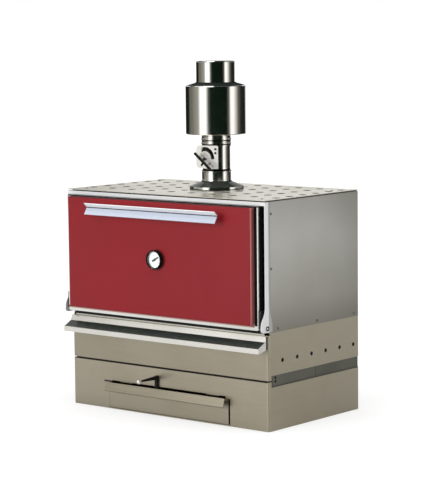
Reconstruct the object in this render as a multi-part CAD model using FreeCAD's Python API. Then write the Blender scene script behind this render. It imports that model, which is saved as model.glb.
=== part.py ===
import FreeCAD, Part
import math
import os

Vector = FreeCAD.Vector

# All sizes are millimetres. The origin is the centre of the base's underside,
# X to the right, Y to the back and Z up. The front plane is that of the base and casing fronts.

# Sheet stock and clearances
sheet = 2.0
plate = 3.0
seat_gap = 0.3  # between faces of pieces that move past each other
fit_gap = 0.05  # radial running clearance of a pin in its hole
through = 5.0  # how far a cutting tool runs past the wall it cuts
tolerance = 1e-3  # how near two places or directions count as the same

# Casing
width = 900.0
depth = 516.0
corner_radius = 9.0
corner_wrap = 15.0  # how far the front sheets run round the corners beside the band
base_height = 153.0
front_rise = 16.0  # the base's front stands this much above its sides
front_gap = 5.0  # dark line between the base's and the casing's fronts
band_height = 37.0
lower_height = 146.0
upper_height = 442.0
cover_gap = 4.0
cover_rim = 2.0
cover_sheet = 1.2
sill_drop = 8.0  # the casing's front ends this far below the skin seam

# Base and ash drawer
floor_thickness = 3.0
drawer_side = 176.0  # from the casing's side to the drawer
drawer_lift = 6.0
drawer_front_height = 87.0
drawer_gap = 5.0  # right of the drawer front
drawer_near_gap = 1.0  # left of it
drawer_play = 2.0  # above and below it
air_slot = 10.0  # height of the slot above the drawer front
slot_end = 12.0  # from the slot's end to the drawer's side
opening_fold = 12.0  # folded edge beside the drawer front
tray_inset = 8.0
tray_lift = 2.0
tray_rear = 98.0  # from the tray's end to the casing's back
tray_height = 78.0
runner_width = 36.0
runner_lip = 22.0
runner_end = 6.0
lip_inset = 1.0  # the pull is this much shorter than the drawer at each end
lip_root = 4.0  # distances below the drawer front's top edge, and in front of it
lip_rise = 5.5
lip_top_reach = 20.0
lip_reach = 29.0
lip_fall = 28.5
lip_hem = 4.0

# Joining band
band_recess = 3.0
rail_thickness = 5.0
rail_seam = 265.0
rail_seam_gap = 1.5
casing_flange = 12.0

# Air holes in the lower casing's sides
air_hole_radius = 5.5
air_hole_rise = 47.0
air_hole_first = 76.0
air_hole_last = 30.0
air_hole_count = 6

# Air shutter under its grid, behind the slot
grid_bearing = 47.0  # how far the grid runs past the opening on each side
grid_reach = 80.0
shutter_side = 30.0
shutter_inset = 10.0
vent_count = 3
vent_end = 10.0
vent_length = 36.0
clip_x = 200.0
clip_width = 60.0
clip_foot = 7.0
lever_x = -47.0
lever_width = 12.0
lever_thickness = 3.5
lever_foot = 40.0
stem_gap = 3.0
stem_thickness = 5.0
stem_rise = 45.0
rod_root_radius = 7.5
rod_radius = 3.8
rod_taper = 70.0
knob_radius = 8.5
knob_reach = 97.0
knob_drop = 1.0
rod_bite = 4.0  # how far the rod runs into the ball

# Drip ledge under the door
ledge_inset = 4.0
ledge_drop = 2.0
ledge_leg = 24.0
ledge_shelf = 7.0
ledge_fall = 18.0
ledge_step = 15.0
ledge_reach = 51.0
ledge_slope_fall = 37.0
ledge_lip = 17.0
ledge_cap_root = 10.0

# Posts, hinge and door
post_projection = 15.0
post_back = 9.0
toe_out = 24.0  # the post's foot flares this far forward, and back
heel_out = 13.0
flare_rise = 71.0
foot_lift = 12.0
foot_radius = 12.0
hinge_rise = 26.0
hinge_reach = 8.0
pin_radius = 5.0
pin_shoulder_radius = 9.0
pin_head_radius = 10.5
pin_head = 3.5
ear_thickness = 6.0
ear_radius = 9.0
ear_height = 60.0
pan_inset = 16.0
pan_drop = 6.0
pan_front = 34.0
pan_back = 8.0
pan_corner = 6.0
panel_inset = 19.0
panel_drop = 3.0
panel_lift = 17.0
panel_depth = 19.0
panel_corner = 8.0
panel_edge = 4.0
seal_width = 10.0
seal_offset = 9.0  # from the mouth's edge to the seal's inner edge

# Door handle, a V-section strip on standoffs
handle_inset = 118.0
handle_drop = 32.0
handle_reach = 26.0
handle_open = 15.0
handle_upper = 13.0
handle_lower = 24.0
handle_thickness = 3.0
standoff_inset = 47.0
standoff_radius = 7.0

# Thermometer
thermo_drop = 2.5  # below the middle of the panel
case_radius = 33.0
case_depth = 16.0
case_back = 3.0
case_bore = 28.5
glass_radius = 30.2
glass_seat = 11.0
glass_thickness = 2.0
dial_thickness = 1.0
pointer_lift = 2.2
pointer_thickness = 0.8
pointer_length = 22.0
pointer_tail = 8.0
pointer_width = 3.2
pointer_tip = 0.8
pointer_hub = 3.2
spindle_radius = 1.2
spindle_depth = 2.0
pointer_angle = 60.0  # clockwise from the top of the dial
stem_radius = 3.0
stem_reach = 35.0

# Front frame round the mouth of the chamber
mouth_margin = 70.0
mouth_rise = 44.0
header_height = 33.0
frame_inset = 18.0
rail_height = 10.0
rail_gap = 3.0

# Chamber
chamber_setback = 61.0  # from the chamber's rear wall to the casing's back
chamber_lift = 28.0  # above the joining band
roof_rise = 10.0  # above the mouth's top edge
firebox_thickness = 14.0
firebox_height = 110.0
grate_side = 140.0  # from the chamber's wall to the grate
grate_front = 82.0
grate_rear = 73.0
grate_thickness = 16.0
grate_rest = 10.0
grate_columns = 10
grate_rows = 2
grate_slot_width = 14.0
grate_web = 33.0
grate_cross_web = 30.0
blanket = 50.0
blanket_top = 20.0
blanket_front = 22.0

# Racks and their guides
rack_rises = (252.0, 392.0)  # above the chamber's floor
guide_width = 16.0
guide_height = 6.0
guide_inset = 20.0
rack_side_gap = 4.0
rack_front = 34.0
rack_rear = 21.0
rack_bar = 6.0
rack_bar_height = 14.0
rack_rod_radius = 3.5
rack_rods = 16

# Top cover
hole_radius = 10.0
hole_columns = 10
hole_column_edge = 32.4
hole_rows = 6
hole_row_front = 88.0
hole_row_back = 56.0
hole_margin = 4.0
top_bar = 4.0
top_bar_height = 20.0

# Flue
flue_setback = 283.0
flue_bore = 48.0
flue_wall = 2.0
spigot_flange = 70.0
spigot_top = 66.0  # above the top cover
collar_radius = 97.0
collar_rim = 10.0
collar_cone_radius = 60.0
collar_rise = 24.0
collar_lip = 3.0
sleeve_wall = 2.2
sleeve_lift = 4.0
sleeve_bead = 1.6
sleeve_bead_height = 5.0
damper_pipe_length = 92.0
coupler_overlap = 6.0
coupler_wall = 2.0
coupler_rib = 2.0
coupler_rib_height = 7.0
drum_radius = 108.0
drum_neck = 30.0
drum_flare = 7.0
drum_height = 172.0
drum_edge = 2.0
drum_cone_rise = 10.0
outlet_radius = 69.5
outlet_length = 76.0
outlet_tuck = 14.0
outlet_bead = 1.2
outlet_bead_height = 3.6
baffle_radius = 74.0
baffle_lift = 62.0
baffle_rise = 20.0
baffle_legs = 3
baffle_leg_radius = 3.5

# Damper
damper_rise = 43.0  # its shaft stands this far above the lower end of its pipe
damper_tilt = 38.0
shaft_radius = 5.0
shaft_tail = 7.0
blade_gap = 1.5
blade_thickness = 2.0
index_left = 41.0
index_right = 59.0
index_below = 34.0
index_above = 47.0
index_standoff = 12.0
index_corner = 3.0
index_curve = 16.0  # radius of the plate's two left corners
index_boss = 9.0
index_slot_radius = 36.0
index_slot_width = 9.0
index_slot_start = 0.0
index_slot_end = 112.0
index_bolt_radius = 3.5
index_bolt = 3.0
index_bolt_side = 11.0
index_bolt_drops = (11.0, 25.0)  # below the plate's top edge
damper_strip_left = 26.0
damper_strip_right = 49.0
damper_strip_width = 14.0
damper_strip = 3.0
stud_radius = 3.0
stud_left = 15.0
stud_right = 40.0
grip_length = 92.0
grip_radius = 5.0
grip_reach = 22.0
grip_knob_radius = 3.5
grip_knob = 15.0
grip_knob_place = 4.0  # from the middle of the grip
pivot_nut_radius = 5.5
pivot_nut = 4.0

# Screw heads on the outside
screw_radius = 4.5
screw_crown = 3.0
screw_height = 2.0
skin_screw_low = 12.0
skin_screw_front = 52.0
skin_screw_back = 25.0
skin_screw_edge = 8.0
skin_screw_drops = (225.0, 40.0)  # below the skin's top edge
band_screw_y = 25.0
band_screw_spread = 8.0
cover_screw_side = 50.0
cover_screw_front = 34.0
cover_screw_back = 86.0

# Places worked out from the sizes above
half = width / 2.0
front = -depth / 2.0
back = depth / 2.0
base_front_top = base_height + front_rise
casing_front_z = base_front_top + front_gap
casing_z = base_height + band_height
skin_z = casing_z + lower_height
skin_top = skin_z + upper_height
cover_z = skin_top + cover_gap
top_z = cover_z + cover_rim
sill_top = skin_z - sill_drop

drawer_half = half - drawer_side
drawer_top = drawer_lift + drawer_front_height
opening_right = drawer_half + drawer_gap
opening_left = -drawer_half - drawer_near_gap
opening_low = drawer_lift - drawer_play
opening_top = drawer_top + air_slot
slot_half = drawer_half - slot_end
tray_half = drawer_half - tray_inset
tray_z = drawer_lift + tray_lift
tray_back = back - tray_rear

grid_z = opening_top + seat_gap
shutter_top = grid_z - seat_gap
shutter_low = shutter_top - sheet
shutter_front = front + shutter_inset
shutter_back = front + grid_reach - shutter_inset
shutter_half = drawer_half - shutter_side
vent_pitch = 2.0 * (shutter_half - vent_end) / vent_count
vent_width = vent_pitch / 2.0
vent_offset = vent_width / 2.0  # half open as photographed
lever_low = shutter_low - lever_thickness
stem_front = front - stem_gap - stem_thickness
stem_top = lever_low + stem_rise

ledge_top = sill_top - ledge_drop
ledge_half = half - ledge_inset
post_front = front - post_projection
post_edge = front + post_back
post_x = half - plate
foot_z = sill_top + foot_lift
hinge_y = front - hinge_reach
hinge_z = sill_top + hinge_rise
rail_z = skin_top - rail_height
pan_half = half - pan_inset
pan_z = hinge_z - pan_drop
pan_top = rail_z - rail_gap
pan_face = front - pan_front
pan_rear = front - pan_back
panel_half = pan_half - panel_inset
panel_z = pan_z + panel_lift
panel_top = pan_top - panel_drop
panel_face = pan_face - panel_depth
ear_x = pan_half + ear_thickness
handle_half = panel_half - handle_inset
handle_z = panel_top - handle_drop
standoff_x = handle_half - standoff_inset
fold_y = panel_face - handle_reach
thermo_z = (panel_z + panel_top) / 2.0 - thermo_drop
dial_y = panel_face - case_back
pointer_y = dial_y - dial_thickness - pointer_lift

mouth_z = sill_top + mouth_rise
mouth_top = skin_top - header_height
mouth_half = half - mouth_margin
frame_half = half - frame_inset
frame_back = front + plate
chamber_base = casing_z + chamber_lift
chamber_back = back - chamber_setback
chamber_half = mouth_half + sheet
roof_z = mouth_top + roof_rise
roof_top = roof_z + sheet
floor_low = chamber_base - plate
grate_half = mouth_half - grate_side
grate_back = chamber_back - grate_rear
rack_levels = [chamber_base + rise for rise in rack_rises]
chute_half = grate_half - grate_rest
chute_front = front + grate_front + grate_rest
chute_back = grate_back - grate_rest

flue_y = front + flue_setback
pipe_radius = flue_bore + flue_wall
sleeve_radius = pipe_radius + seat_gap + sleeve_wall
pipe_z = top_z + spigot_top
pipe_top = pipe_z + damper_pipe_length
damper_z = pipe_z + damper_rise
index_back = flue_y - pipe_radius - index_standoff
index_front = index_back - sheet
strip_back = index_front - seat_gap
strip_front = strip_back - damper_strip
grip_y = strip_front - grip_reach
drum_z = pipe_top + drum_neck + drum_flare
drum_top = drum_z + drum_height
outlet_z = drum_top + drum_cone_rise
outlet_top = outlet_z + outlet_length
baffle_z = drum_z + baffle_lift


def box(x0, x1, y0, y1, z0, z1):
    return Part.makeBox(x1 - x0, y1 - y0, z1 - z0, Vector(x0, y0, z0))


def rod(start, end, radius):
    run = end - start
    return Part.makeCylinder(radius, run.Length, start, run)


def whole(shape):
    """One solid, or a group where the shape has several."""
    solids = shape.removeSplitter().Solids
    return solids[0] if len(solids) == 1 else Part.makeCompound(solids)


def fused(shapes):
    return whole(shapes[0].multiFuse(shapes[1:]))


def mirrored(shape):
    return shape.mirror(Vector(0, 0, 0), Vector(1, 0, 0))


def both_sides(shapes):
    return Part.makeCompound(shapes + [mirrored(shape) for shape in shapes])


def filled(points):
    return Part.Face(Part.makePolygon(points + points[:1]))


def prism_x(outline, x0, x1):
    """A (y, z) outline carried along X."""
    return filled([Vector(x0, y, z) for y, z in outline]).extrude(Vector(x1 - x0, 0, 0))


def prism_y(outline, y0, y1):
    """An (x, z) outline carried along Y."""
    return filled([Vector(x, y0, z) for x, z in outline]).extrude(Vector(0, y1 - y0, 0))


def spun(outline):
    """A (radius, z) outline turned about the flue's axis."""
    face = filled([Vector(r, 0, z) for r, z in outline])
    solid = face.revolve(Vector(0, 0, 0), Vector(0, 0, 1), 360)
    return solid.translated(Vector(0, flue_y, 0))


def folded(line, thickness):
    """Outline of a bent sheet: the line, and its copy set off to the left with mitred bends."""
    normals = []
    for (u0, v0), (u1, v1) in zip(line, line[1:]):
        run = math.hypot(u1 - u0, v1 - v0)
        normals.append(((v0 - v1) / run, (u1 - u0) / run))
    inner = []
    for index, (u, v) in enumerate(line):
        a = normals[max(index - 1, 0)]
        b = normals[min(index, len(normals) - 1)]
        share = thickness / (1.0 + a[0] * b[0] + a[1] * b[1])
        inner.append((u + (a[0] + b[0]) * share, v + (a[1] + b[1]) * share))
    return line + inner[::-1]


def inside(radius):
    """Inner radius of a bend whose outer radius is given."""
    return max(radius - sheet, sheet / 2.0)


def spread(first, last, count):
    """Evenly spaced places from the first to the last."""
    return [first + (last - first) * index / (count - 1) for index in range(count)]


def edges_along(shape, direction, test):
    """Straight edges that run along a direction and whose middle passes the test."""
    found = []
    for edge in shape.Edges:
        run = edge.Vertexes[-1].Point - edge.Vertexes[0].Point
        if run.Length and abs(abs(run.normalize().dot(direction)) - 1.0) < tolerance:
            if test(edge.CenterOfMass):
                found.append(edge)
    return found


def rounded(block, radius):
    """A block with the edges that run from front to back rounded."""
    return block.makeFillet(radius, edges_along(block, Vector(0, 1, 0), lambda centre: True))


def round_front(x_half, y_front, y_back, radius, z0, z1):
    """A block with its two front corners rounded."""
    block = box(-x_half, x_half, y_front, y_back, z0, z1)
    middle = (y_front + y_back) / 2.0
    corners = edges_along(block, Vector(0, 0, 1), lambda centre: centre.y < middle)
    return block.makeFillet(radius, corners)


def wrapped(z0, z1):
    """Front and sides of the casing in one bent sheet, open at the back."""
    outer = round_front(half, front, back, corner_radius, z0, z1)
    inner = round_front(half - sheet, front + sheet, back + through, inside(corner_radius),
                        z0 - through, z1 + through)
    return outer.cut(inner)


def across(y0, y1, z0, z1):
    """A cutting block over the casing's whole width."""
    return box(-half - through, half + through, y0, y1, z0, z1)


def base_floor():
    return box(sheet - half, half - sheet, front + corner_radius, back - sheet, 0.0, floor_thickness)


def base_cabinet():
    wrap = wrapped(0.0, base_front_top)
    notch = across(front + corner_wrap, back + through, base_height, base_front_top + through)
    ahead = front - through
    behind = front + sheet + through
    opening = box(opening_left, opening_right, ahead, behind, opening_low, drawer_top + drawer_play)
    slot = box(-slot_half, slot_half, ahead, behind, drawer_top, opening_top)
    folds = [box(x, x + sheet, front, front + opening_fold, opening_low, drawer_top)
             for x in (opening_left - sheet, opening_right)]
    return fused([wrap.cut([notch, opening, slot])] + folds)


def rear_panels():
    low = box(sheet - half, half - sheet, back - sheet, back, 0.0, base_height)
    high = box(sheet - half, half - sheet, back - sheet, back, base_height, skin_top)
    return Part.makeCompound([low, high])


def base_deck():
    deck = box(sheet - half, half - sheet, front + sheet, back - sheet, base_height - sheet, base_height)
    corner = box(-half, half, front, front + corner_radius, base_height - through, base_height + through)
    mouth = box(-chute_half, chute_half, chute_front, chute_back,
                base_height - through, base_height + through)
    return whole(deck.cut(corner).cut(mouth))


def drawer_runners():
    outer = tray_half + drawer_gap + sheet
    start = front + runner_end
    end = back - sheet - runner_end
    foot = box(outer - runner_width, outer, start, end, floor_thickness, tray_z - seat_gap)
    lip = box(outer - sheet, outer, start, end, tray_z - seat_gap, tray_z + runner_lip)
    return both_sides([fused([foot, lip])])


def joining_rails():
    outer = half - band_recess
    inner = outer - rail_thickness
    seam = front + rail_seam
    fore = box(inner, outer, front + corner_wrap, seam - rail_seam_gap / 2.0, base_height, casing_z)
    rear = box(inner, outer, seam + rail_seam_gap / 2.0, back - sheet, base_height, casing_z)
    start = front + corner_wrap
    cross = box(-inner, inner, start, start + rail_thickness, base_height, casing_z)
    return Part.makeCompound([fore, mirrored(fore), rear, mirrored(rear), cross])


def lower_casing():
    wrap = wrapped(casing_front_z, skin_z)
    below = across(front + corner_wrap, back + through, casing_front_z - through, casing_z)
    above = across(front - through, post_edge, sill_top, skin_z + through)
    sides = wrap.cut(below).cut(above)
    flange = box(half - casing_flange, half - sheet, front + corner_wrap, back - sheet,
                 casing_z, casing_z + sheet)
    body = sides.multiFuse([flange, mirrored(flange)])
    hole_z = casing_z + air_hole_rise
    for hole_y in spread(front + air_hole_first, back - air_hole_last, air_hole_count):
        body = body.cut(rod(Vector(-half - through, hole_y, hole_z), Vector(half + through, hole_y, hole_z),
                            air_hole_radius))
    return whole(body)


def side_skin():
    skin = box(half - sheet, half, post_edge, back, skin_z, skin_top)
    fold = box(frame_half, half - sheet, post_edge, post_edge + sheet, skin_z, skin_top)
    return whole(skin.fuse(fold).cut(side_post()))


def ogee(top, foot):
    """Two arcs that lead from one upright line to another, upright at both ends."""
    step = (foot.y - top.y) / 2.0
    fall = (top.z - foot.z) / 2.0
    bend = (step ** 2 + fall ** 2) / (2.0 * step)
    turn = math.asin(fall / abs(bend)) / 2.0
    dy = bend * (1.0 - math.cos(turn))
    dz = abs(bend) * math.sin(turn)
    waist = (top + foot) * 0.5
    return [Part.Arc(top, Vector(top.x, top.y + dy, top.z - dz), waist),
            Part.Arc(waist, Vector(foot.x, foot.y - dy, foot.z + dz), foot)]


def side_post():
    """A flat post whose foot flares in an ogee on both sides of the hinge pin."""
    toe = post_front - toe_out
    heel = post_edge + heel_out
    flare_top = hinge_z + flare_rise
    corner = foot_radius * (1.0 - math.sqrt(0.5))
    points = [Vector(post_x, y, z) for y, z in (
        (post_front, skin_top), (post_front, flare_top), (toe, hinge_z), (toe, foot_z + foot_radius),
        (toe + foot_radius, foot_z), (heel, foot_z), (heel, hinge_z), (post_edge, flare_top),
        (post_edge, skin_top))]
    edges = ogee(points[1], points[2]) + ogee(points[7], points[6])
    edges.append(Part.Arc(points[3], Vector(post_x, toe + corner, foot_z + corner), points[4]))
    for first, last in ((0, 1), (2, 3), (4, 5), (5, 6), (7, 8), (8, 0)):
        edges.append(Part.LineSegment(points[first], points[last]))
    outline = Part.Wire(Part.__sortEdges__([edge.toShape() for edge in edges]))
    post = Part.Face(outline).extrude(Vector(plate, 0, 0))
    hole = rod(Vector(post_x - through, hinge_y, hinge_z), Vector(half + through, hinge_y, hinge_z),
               pin_radius + fit_gap)
    return whole(post.cut(hole))


def hinge_pins():
    def stretch(x0, x1, radius):
        return rod(Vector(x0, hinge_y, hinge_z), Vector(x1, hinge_y, hinge_z), radius)

    journal = stretch(pan_half + seat_gap, half, pin_radius)
    shoulder = stretch(ear_x + seat_gap, post_x, pin_shoulder_radius)
    head = stretch(half, half + pin_head, pin_head_radius)
    return both_sides([fused([journal, shoulder, head])])


def front_frame():
    jamb = box(mouth_half, frame_half, front, frame_back, sill_top, skin_top)
    header = box(-mouth_half, mouth_half, front, frame_back, mouth_top, skin_top)
    sill = box(-mouth_half, mouth_half, front, frame_back, sill_top, mouth_z)
    return Part.makeCompound([jamb, mirrored(jamb), header, sill])


def top_rail():
    line = [(post_front, skin_top), (post_front, rail_z), (front, rail_z)]
    return prism_x(folded(line, sheet), -post_x, post_x)


def top_frame():
    high = top_z - cover_sheet
    low = high - top_bar_height
    inner = half - sheet - top_bar
    start = post_edge + sheet
    side = box(inner, half - sheet, start, back - sheet, low, high)
    fore = box(-frame_half, frame_half, frame_back, frame_back + top_bar, low, high)
    rear = box(-inner, inner, back - sheet - top_bar, back - sheet, low, high)
    return Part.makeCompound([side, mirrored(side), fore, rear])


def top_cover():
    """A shallow tray turned upside down, with rows of round vents that leave the collar's seat whole."""
    block = box(-half, half, post_front, back, cover_z, top_z)
    hollow = box(sheet - half, half - sheet, post_front + sheet, back - sheet,
                 cover_z - through, top_z - cover_sheet)
    clear = collar_radius + hole_radius + hole_margin
    tools = [rod(Vector(0, flue_y, cover_z), Vector(0, flue_y, top_z + through), sleeve_radius)]
    for x in spread(hole_column_edge - half, half - hole_column_edge, hole_columns):
        for y in spread(front + hole_row_front, back - hole_row_back, hole_rows):
            if math.hypot(x, y - flue_y) > clear:
                tools.append(rod(Vector(x, y, cover_z), Vector(x, y, top_z + through), hole_radius))
    return whole(block.cut(hollow).cut(tools))


def drip_ledge():
    shelf = [
        (front, ledge_top), (front - ledge_shelf, ledge_top), (front - ledge_step, ledge_top - ledge_fall),
        (front - ledge_reach, ledge_top - ledge_slope_fall),
        (front - ledge_reach, ledge_top - ledge_slope_fall - ledge_lip)]
    line = [(front, ledge_top - ledge_leg)] + shelf
    strip = prism_x(folded(line, sheet), -ledge_half, ledge_half)
    lip_low = shelf[-1][1]
    cap_outline = shelf + [(front - ledge_reach + sheet, lip_low), (front, lip_low + ledge_cap_root)]
    cap = prism_x(cap_outline, ledge_half - sheet, ledge_half)
    return fused([strip, cap, mirrored(cap)])


def liner_floor():
    floor = box(-chamber_half, chamber_half, frame_back, chamber_back + sheet, floor_low, chamber_base)
    mouth = box(-chute_half, chute_half, chute_front, chute_back,
                floor_low - through, chamber_base + through)
    return whole(floor.cut(mouth))


def liner_walls():
    side = box(mouth_half, chamber_half, frame_back, chamber_back, chamber_base, roof_z)
    rear = box(-chamber_half, chamber_half, chamber_back, chamber_back + sheet, chamber_base, roof_z)
    fore = box(-mouth_half, mouth_half, frame_back, frame_back + sheet, chamber_base, mouth_z)
    return Part.makeCompound([side, mirrored(side), rear, fore])


def liner_roof():
    roof = box(-chamber_half, chamber_half, frame_back, chamber_back + sheet, roof_z, roof_top)
    hole = rod(Vector(0, flue_y, roof_z - through), Vector(0, flue_y, roof_top + through), flue_bore)
    return whole(roof.cut(hole))


def insulation():
    """Blankets outside the chamber's side and rear walls and over its roof."""
    side = box(chamber_half, chamber_half + blanket, front + blanket_front, chamber_back + sheet,
               casing_z + blanket, roof_z)
    rear = box(-chamber_half - blanket, chamber_half + blanket, chamber_back + sheet, back - sheet,
               casing_z + blanket, roof_z)
    over = box(-chamber_half, chamber_half, front + blanket_front, chamber_back + sheet, roof_top,
               roof_top + blanket_top)
    hole = rod(Vector(0, flue_y, roof_z), Vector(0, flue_y, top_z), spigot_flange + seat_gap)
    return Part.makeCompound([side, mirrored(side), rear, whole(over.cut(hole))])


def firebox_plates():
    low = chamber_base
    high = chamber_base + firebox_height
    inner = mouth_half - firebox_thickness
    start = frame_back + sheet
    side = box(inner, mouth_half, start, chamber_back, low, high)
    fore = box(-inner, inner, start, start + firebox_thickness, low, high)
    rear = box(-inner, inner, chamber_back - firebox_thickness, chamber_back, low, high)
    return Part.makeCompound([side, mirrored(side), fore, rear])


def fire_grate():
    """A cast plate with two rows of round-ended slots."""
    start = front + grate_front
    grate = box(-grate_half, grate_half, start, grate_back, chamber_base, chamber_base + grate_thickness)
    radius = grate_slot_width / 2.0
    low = chamber_base - through
    high = chamber_base + grate_thickness + through
    row_length = (grate_back - start) / grate_rows
    tools = []
    for x in spread(grate_web - grate_half, grate_half - grate_web, grate_columns):
        for row in range(grate_rows):
            fore = start + row * row_length + grate_cross_web / 2.0 + radius
            rear = start + (row + 1) * row_length - grate_cross_web / 2.0 - radius
            ends = [rod(Vector(x, y, low), Vector(x, y, high), radius) for y in (fore, rear)]
            middle = box(x - radius, x + radius, fore, rear, low, high)
            tools.append(fused([middle] + ends))
    return whole(grate.cut(tools))


def ash_chute():
    outer = box(-chute_half - sheet, chute_half + sheet, chute_front - sheet, chute_back + sheet,
                base_height, floor_low)
    inner = box(-chute_half, chute_half, chute_front, chute_back, base_height - through, floor_low + through)
    return whole(outer.cut(inner))


def rack_guides():
    start = frame_back + guide_inset
    end = chamber_back - guide_inset
    bars = [box(mouth_half - guide_width, mouth_half, start, end, level - guide_height, level)
            for level in rack_levels]
    return both_sides(bars)


def cooking_rack(level):
    """A flat-bar frame with round rods let into its front and rear bars."""
    outer = mouth_half - rack_side_gap
    start = front + rack_front
    end = chamber_back - rack_rear
    top = level + rack_bar_height
    rim = box(-outer, outer, start, end, level, top)
    space = box(rack_bar - outer, outer - rack_bar, start + rack_bar, end - rack_bar,
                level - through, top + through)
    rod_z = top - rack_rod_radius - seat_gap
    pitch = 2.0 * (outer - rack_bar) / (rack_rods + 1)
    rods = []
    for index in range(rack_rods):
        x = rack_bar - outer + (index + 1) * pitch
        fore = Vector(x, start + rack_bar, rod_z)
        rear = Vector(x, end - rack_bar, rod_z)
        rods.append(rod(fore, rear, rack_rod_radius))
    return fused([rim.cut(space)] + rods)


def cooking_racks():
    return Part.makeCompound([cooking_rack(level) for level in rack_levels])


def vent_tools(offset, low, high):
    """Cutting blocks for the row of air vents, shifted along X by the offset."""
    middle = (shutter_front + shutter_back) / 2.0
    tools = []
    for index in range(vent_count):
        x = (index - (vent_count - 1) / 2.0) * vent_pitch + offset
        tools.append(box(x - vent_width / 2.0, x + vent_width / 2.0, middle - vent_length / 2.0,
                         middle + vent_length / 2.0, low, high))
    return tools


def air_grid():
    """The fixed vent plate behind the front, with bent clips that carry the shutter's edges."""
    grid_half = opening_right + grid_bearing
    grid = box(-grid_half, grid_half, front + sheet, front + grid_reach, grid_z, grid_z + sheet)
    grid = grid.cut(vent_tools(0.0, grid_z - through, grid_z + through))
    clip_top = shutter_low - seat_gap
    pieces = []
    for x0 in (clip_x - clip_width / 2.0, -clip_x - clip_width / 2.0):
        x1 = x0 + clip_width
        fore_y = shutter_front - seat_gap
        rear_y = shutter_back + seat_gap
        pieces.append(box(x0, x1, fore_y - sheet, fore_y, clip_top - sheet, grid_z))
        pieces.append(box(x0, x1, fore_y, fore_y + clip_foot, clip_top - sheet, clip_top))
        pieces.append(box(x0, x1, rear_y, rear_y + sheet, clip_top - sheet, grid_z))
        pieces.append(box(x0, x1, rear_y - clip_foot, rear_y, clip_top - sheet, clip_top))
    return fused([grid] + pieces)


def air_shutter():
    slide = box(-shutter_half, shutter_half, shutter_front, shutter_back, shutter_low, shutter_top)
    return whole(slide.cut(vent_tools(vent_offset, shutter_low - through, shutter_top + through)))


def air_lever():
    """A foot under the shutter, an upright in front of the slot and a rod that tapers towards the knob."""
    x0 = lever_x - lever_width / 2.0
    x1 = lever_x + lever_width / 2.0
    foot = box(x0, x1, stem_front, front + lever_foot, lever_low, shutter_low)
    stem = box(x0, x1, stem_front, stem_front + stem_thickness, lever_low, stem_top)
    root = Vector(lever_x, stem_front + stem_thickness / 2.0, stem_top - rod_root_radius)
    knob = Vector(lever_x, front - knob_reach, root.z - knob_drop)
    run = knob - root
    direction = Vector(run).normalize()
    taper = Part.makeCone(rod_root_radius, rod_radius, rod_taper, root, direction)
    shank = rod(root + direction * rod_taper, knob - direction * (knob_radius - rod_bite), rod_radius)
    return fused([foot, stem, taper, shank])


def air_knob():
    root_z = stem_top - rod_root_radius
    ball = Part.makeSphere(knob_radius, Vector(lever_x, front - knob_reach, root_z - knob_drop))
    return whole(ball.cut(air_lever()))


def drawer_front():
    return box(-drawer_half, drawer_half, front, front + sheet, drawer_lift, drawer_top)


def drawer_tray():
    """Floor and four walls of an open tray."""
    start = front + sheet
    inner = tray_half - sheet
    low = tray_z + sheet
    high = tray_z + tray_height
    floor = box(-tray_half, tray_half, start, tray_back, tray_z, low)
    side = box(inner, tray_half, start, tray_back, low, high)
    fore = box(-inner, inner, start, start + sheet, low, high)
    rear = box(-inner, inner, tray_back - sheet, tray_back, low, high)
    return Part.makeCompound([floor, side, mirrored(side), fore, rear])


def drawer_pull():
    crest_z = drawer_top + lip_rise
    line = [
        (front, drawer_top - lip_root), (front - lip_top_reach, crest_z),
        (front - lip_reach, crest_z - lip_fall),
        (front - lip_reach + lip_hem, crest_z - lip_fall - lip_hem)]
    return prism_x(folded(line, sheet), lip_inset - drawer_half, drawer_half - lip_inset)


def stem_hole():
    return rod(Vector(0, panel_face - through, thermo_z), Vector(0, front + through, thermo_z),
               stem_radius + seat_gap)


def door_panel():
    """A shallow enamelled tray with softly rounded corners and front edge."""
    block = rounded(box(-panel_half, panel_half, panel_face, pan_face, panel_z, panel_top), panel_corner)
    rim = [edge for edge in block.Edges if edge.BoundBox.YMax < panel_face + tolerance]
    block = block.makeFillet(panel_edge, rim)
    hollow = box(sheet - panel_half, panel_half - sheet, panel_face + sheet, pan_face + through,
                 panel_z + sheet, panel_top - sheet)
    return whole(block.cut(rounded(hollow, inside(panel_corner))).cut(stem_hole()))


def door_pan():
    block = rounded(box(-pan_half, pan_half, pan_face, pan_rear, pan_z, pan_top), pan_corner)
    hollow = box(sheet - pan_half, pan_half - sheet, pan_face + sheet, pan_rear + through,
                 pan_z + sheet, pan_top - sheet)
    return whole(block.cut(rounded(hollow, inside(pan_corner))).cut(stem_hole()))


def door_filling(y0, y1):
    """A layer that fills the pan from side to side."""
    layer = box(sheet - pan_half, pan_half - sheet, y0, y1, pan_z + sheet, pan_top - sheet)
    return whole(rounded(layer, inside(pan_corner)).cut(stem_hole()))


def door_insulation():
    return door_filling(pan_face + sheet, pan_rear - sheet)


def door_liner():
    return door_filling(pan_rear - sheet, pan_rear)


def door_seal():
    """A rope laid round the mouth of the chamber on the back of the door."""
    inner = mouth_half + seal_offset
    outer = inner + seal_width
    low = mouth_z - seal_offset
    high = mouth_top + seal_offset
    ring = box(-outer, outer, pan_rear, front - seat_gap, low - seal_width, high + seal_width)
    space = box(-inner, inner, pan_rear - through, front + through, low, high)
    return whole(rounded(ring, seal_width).cut(space))


def hinge_ears():
    low = Vector(pan_half, hinge_y, hinge_z)
    high = Vector(ear_x, hinge_y, hinge_z)
    arm = box(pan_half, ear_x, pan_face + sheet, hinge_y, pan_z + pan_corner, hinge_z + ear_height)
    ear = fused([arm, rod(low, high, ear_radius)])
    hole = rod(Vector(pan_half - through, hinge_y, hinge_z), Vector(ear_x + through, hinge_y, hinge_z),
               pin_radius + fit_gap)
    return both_sides([whole(ear.cut(hole))])


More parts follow.
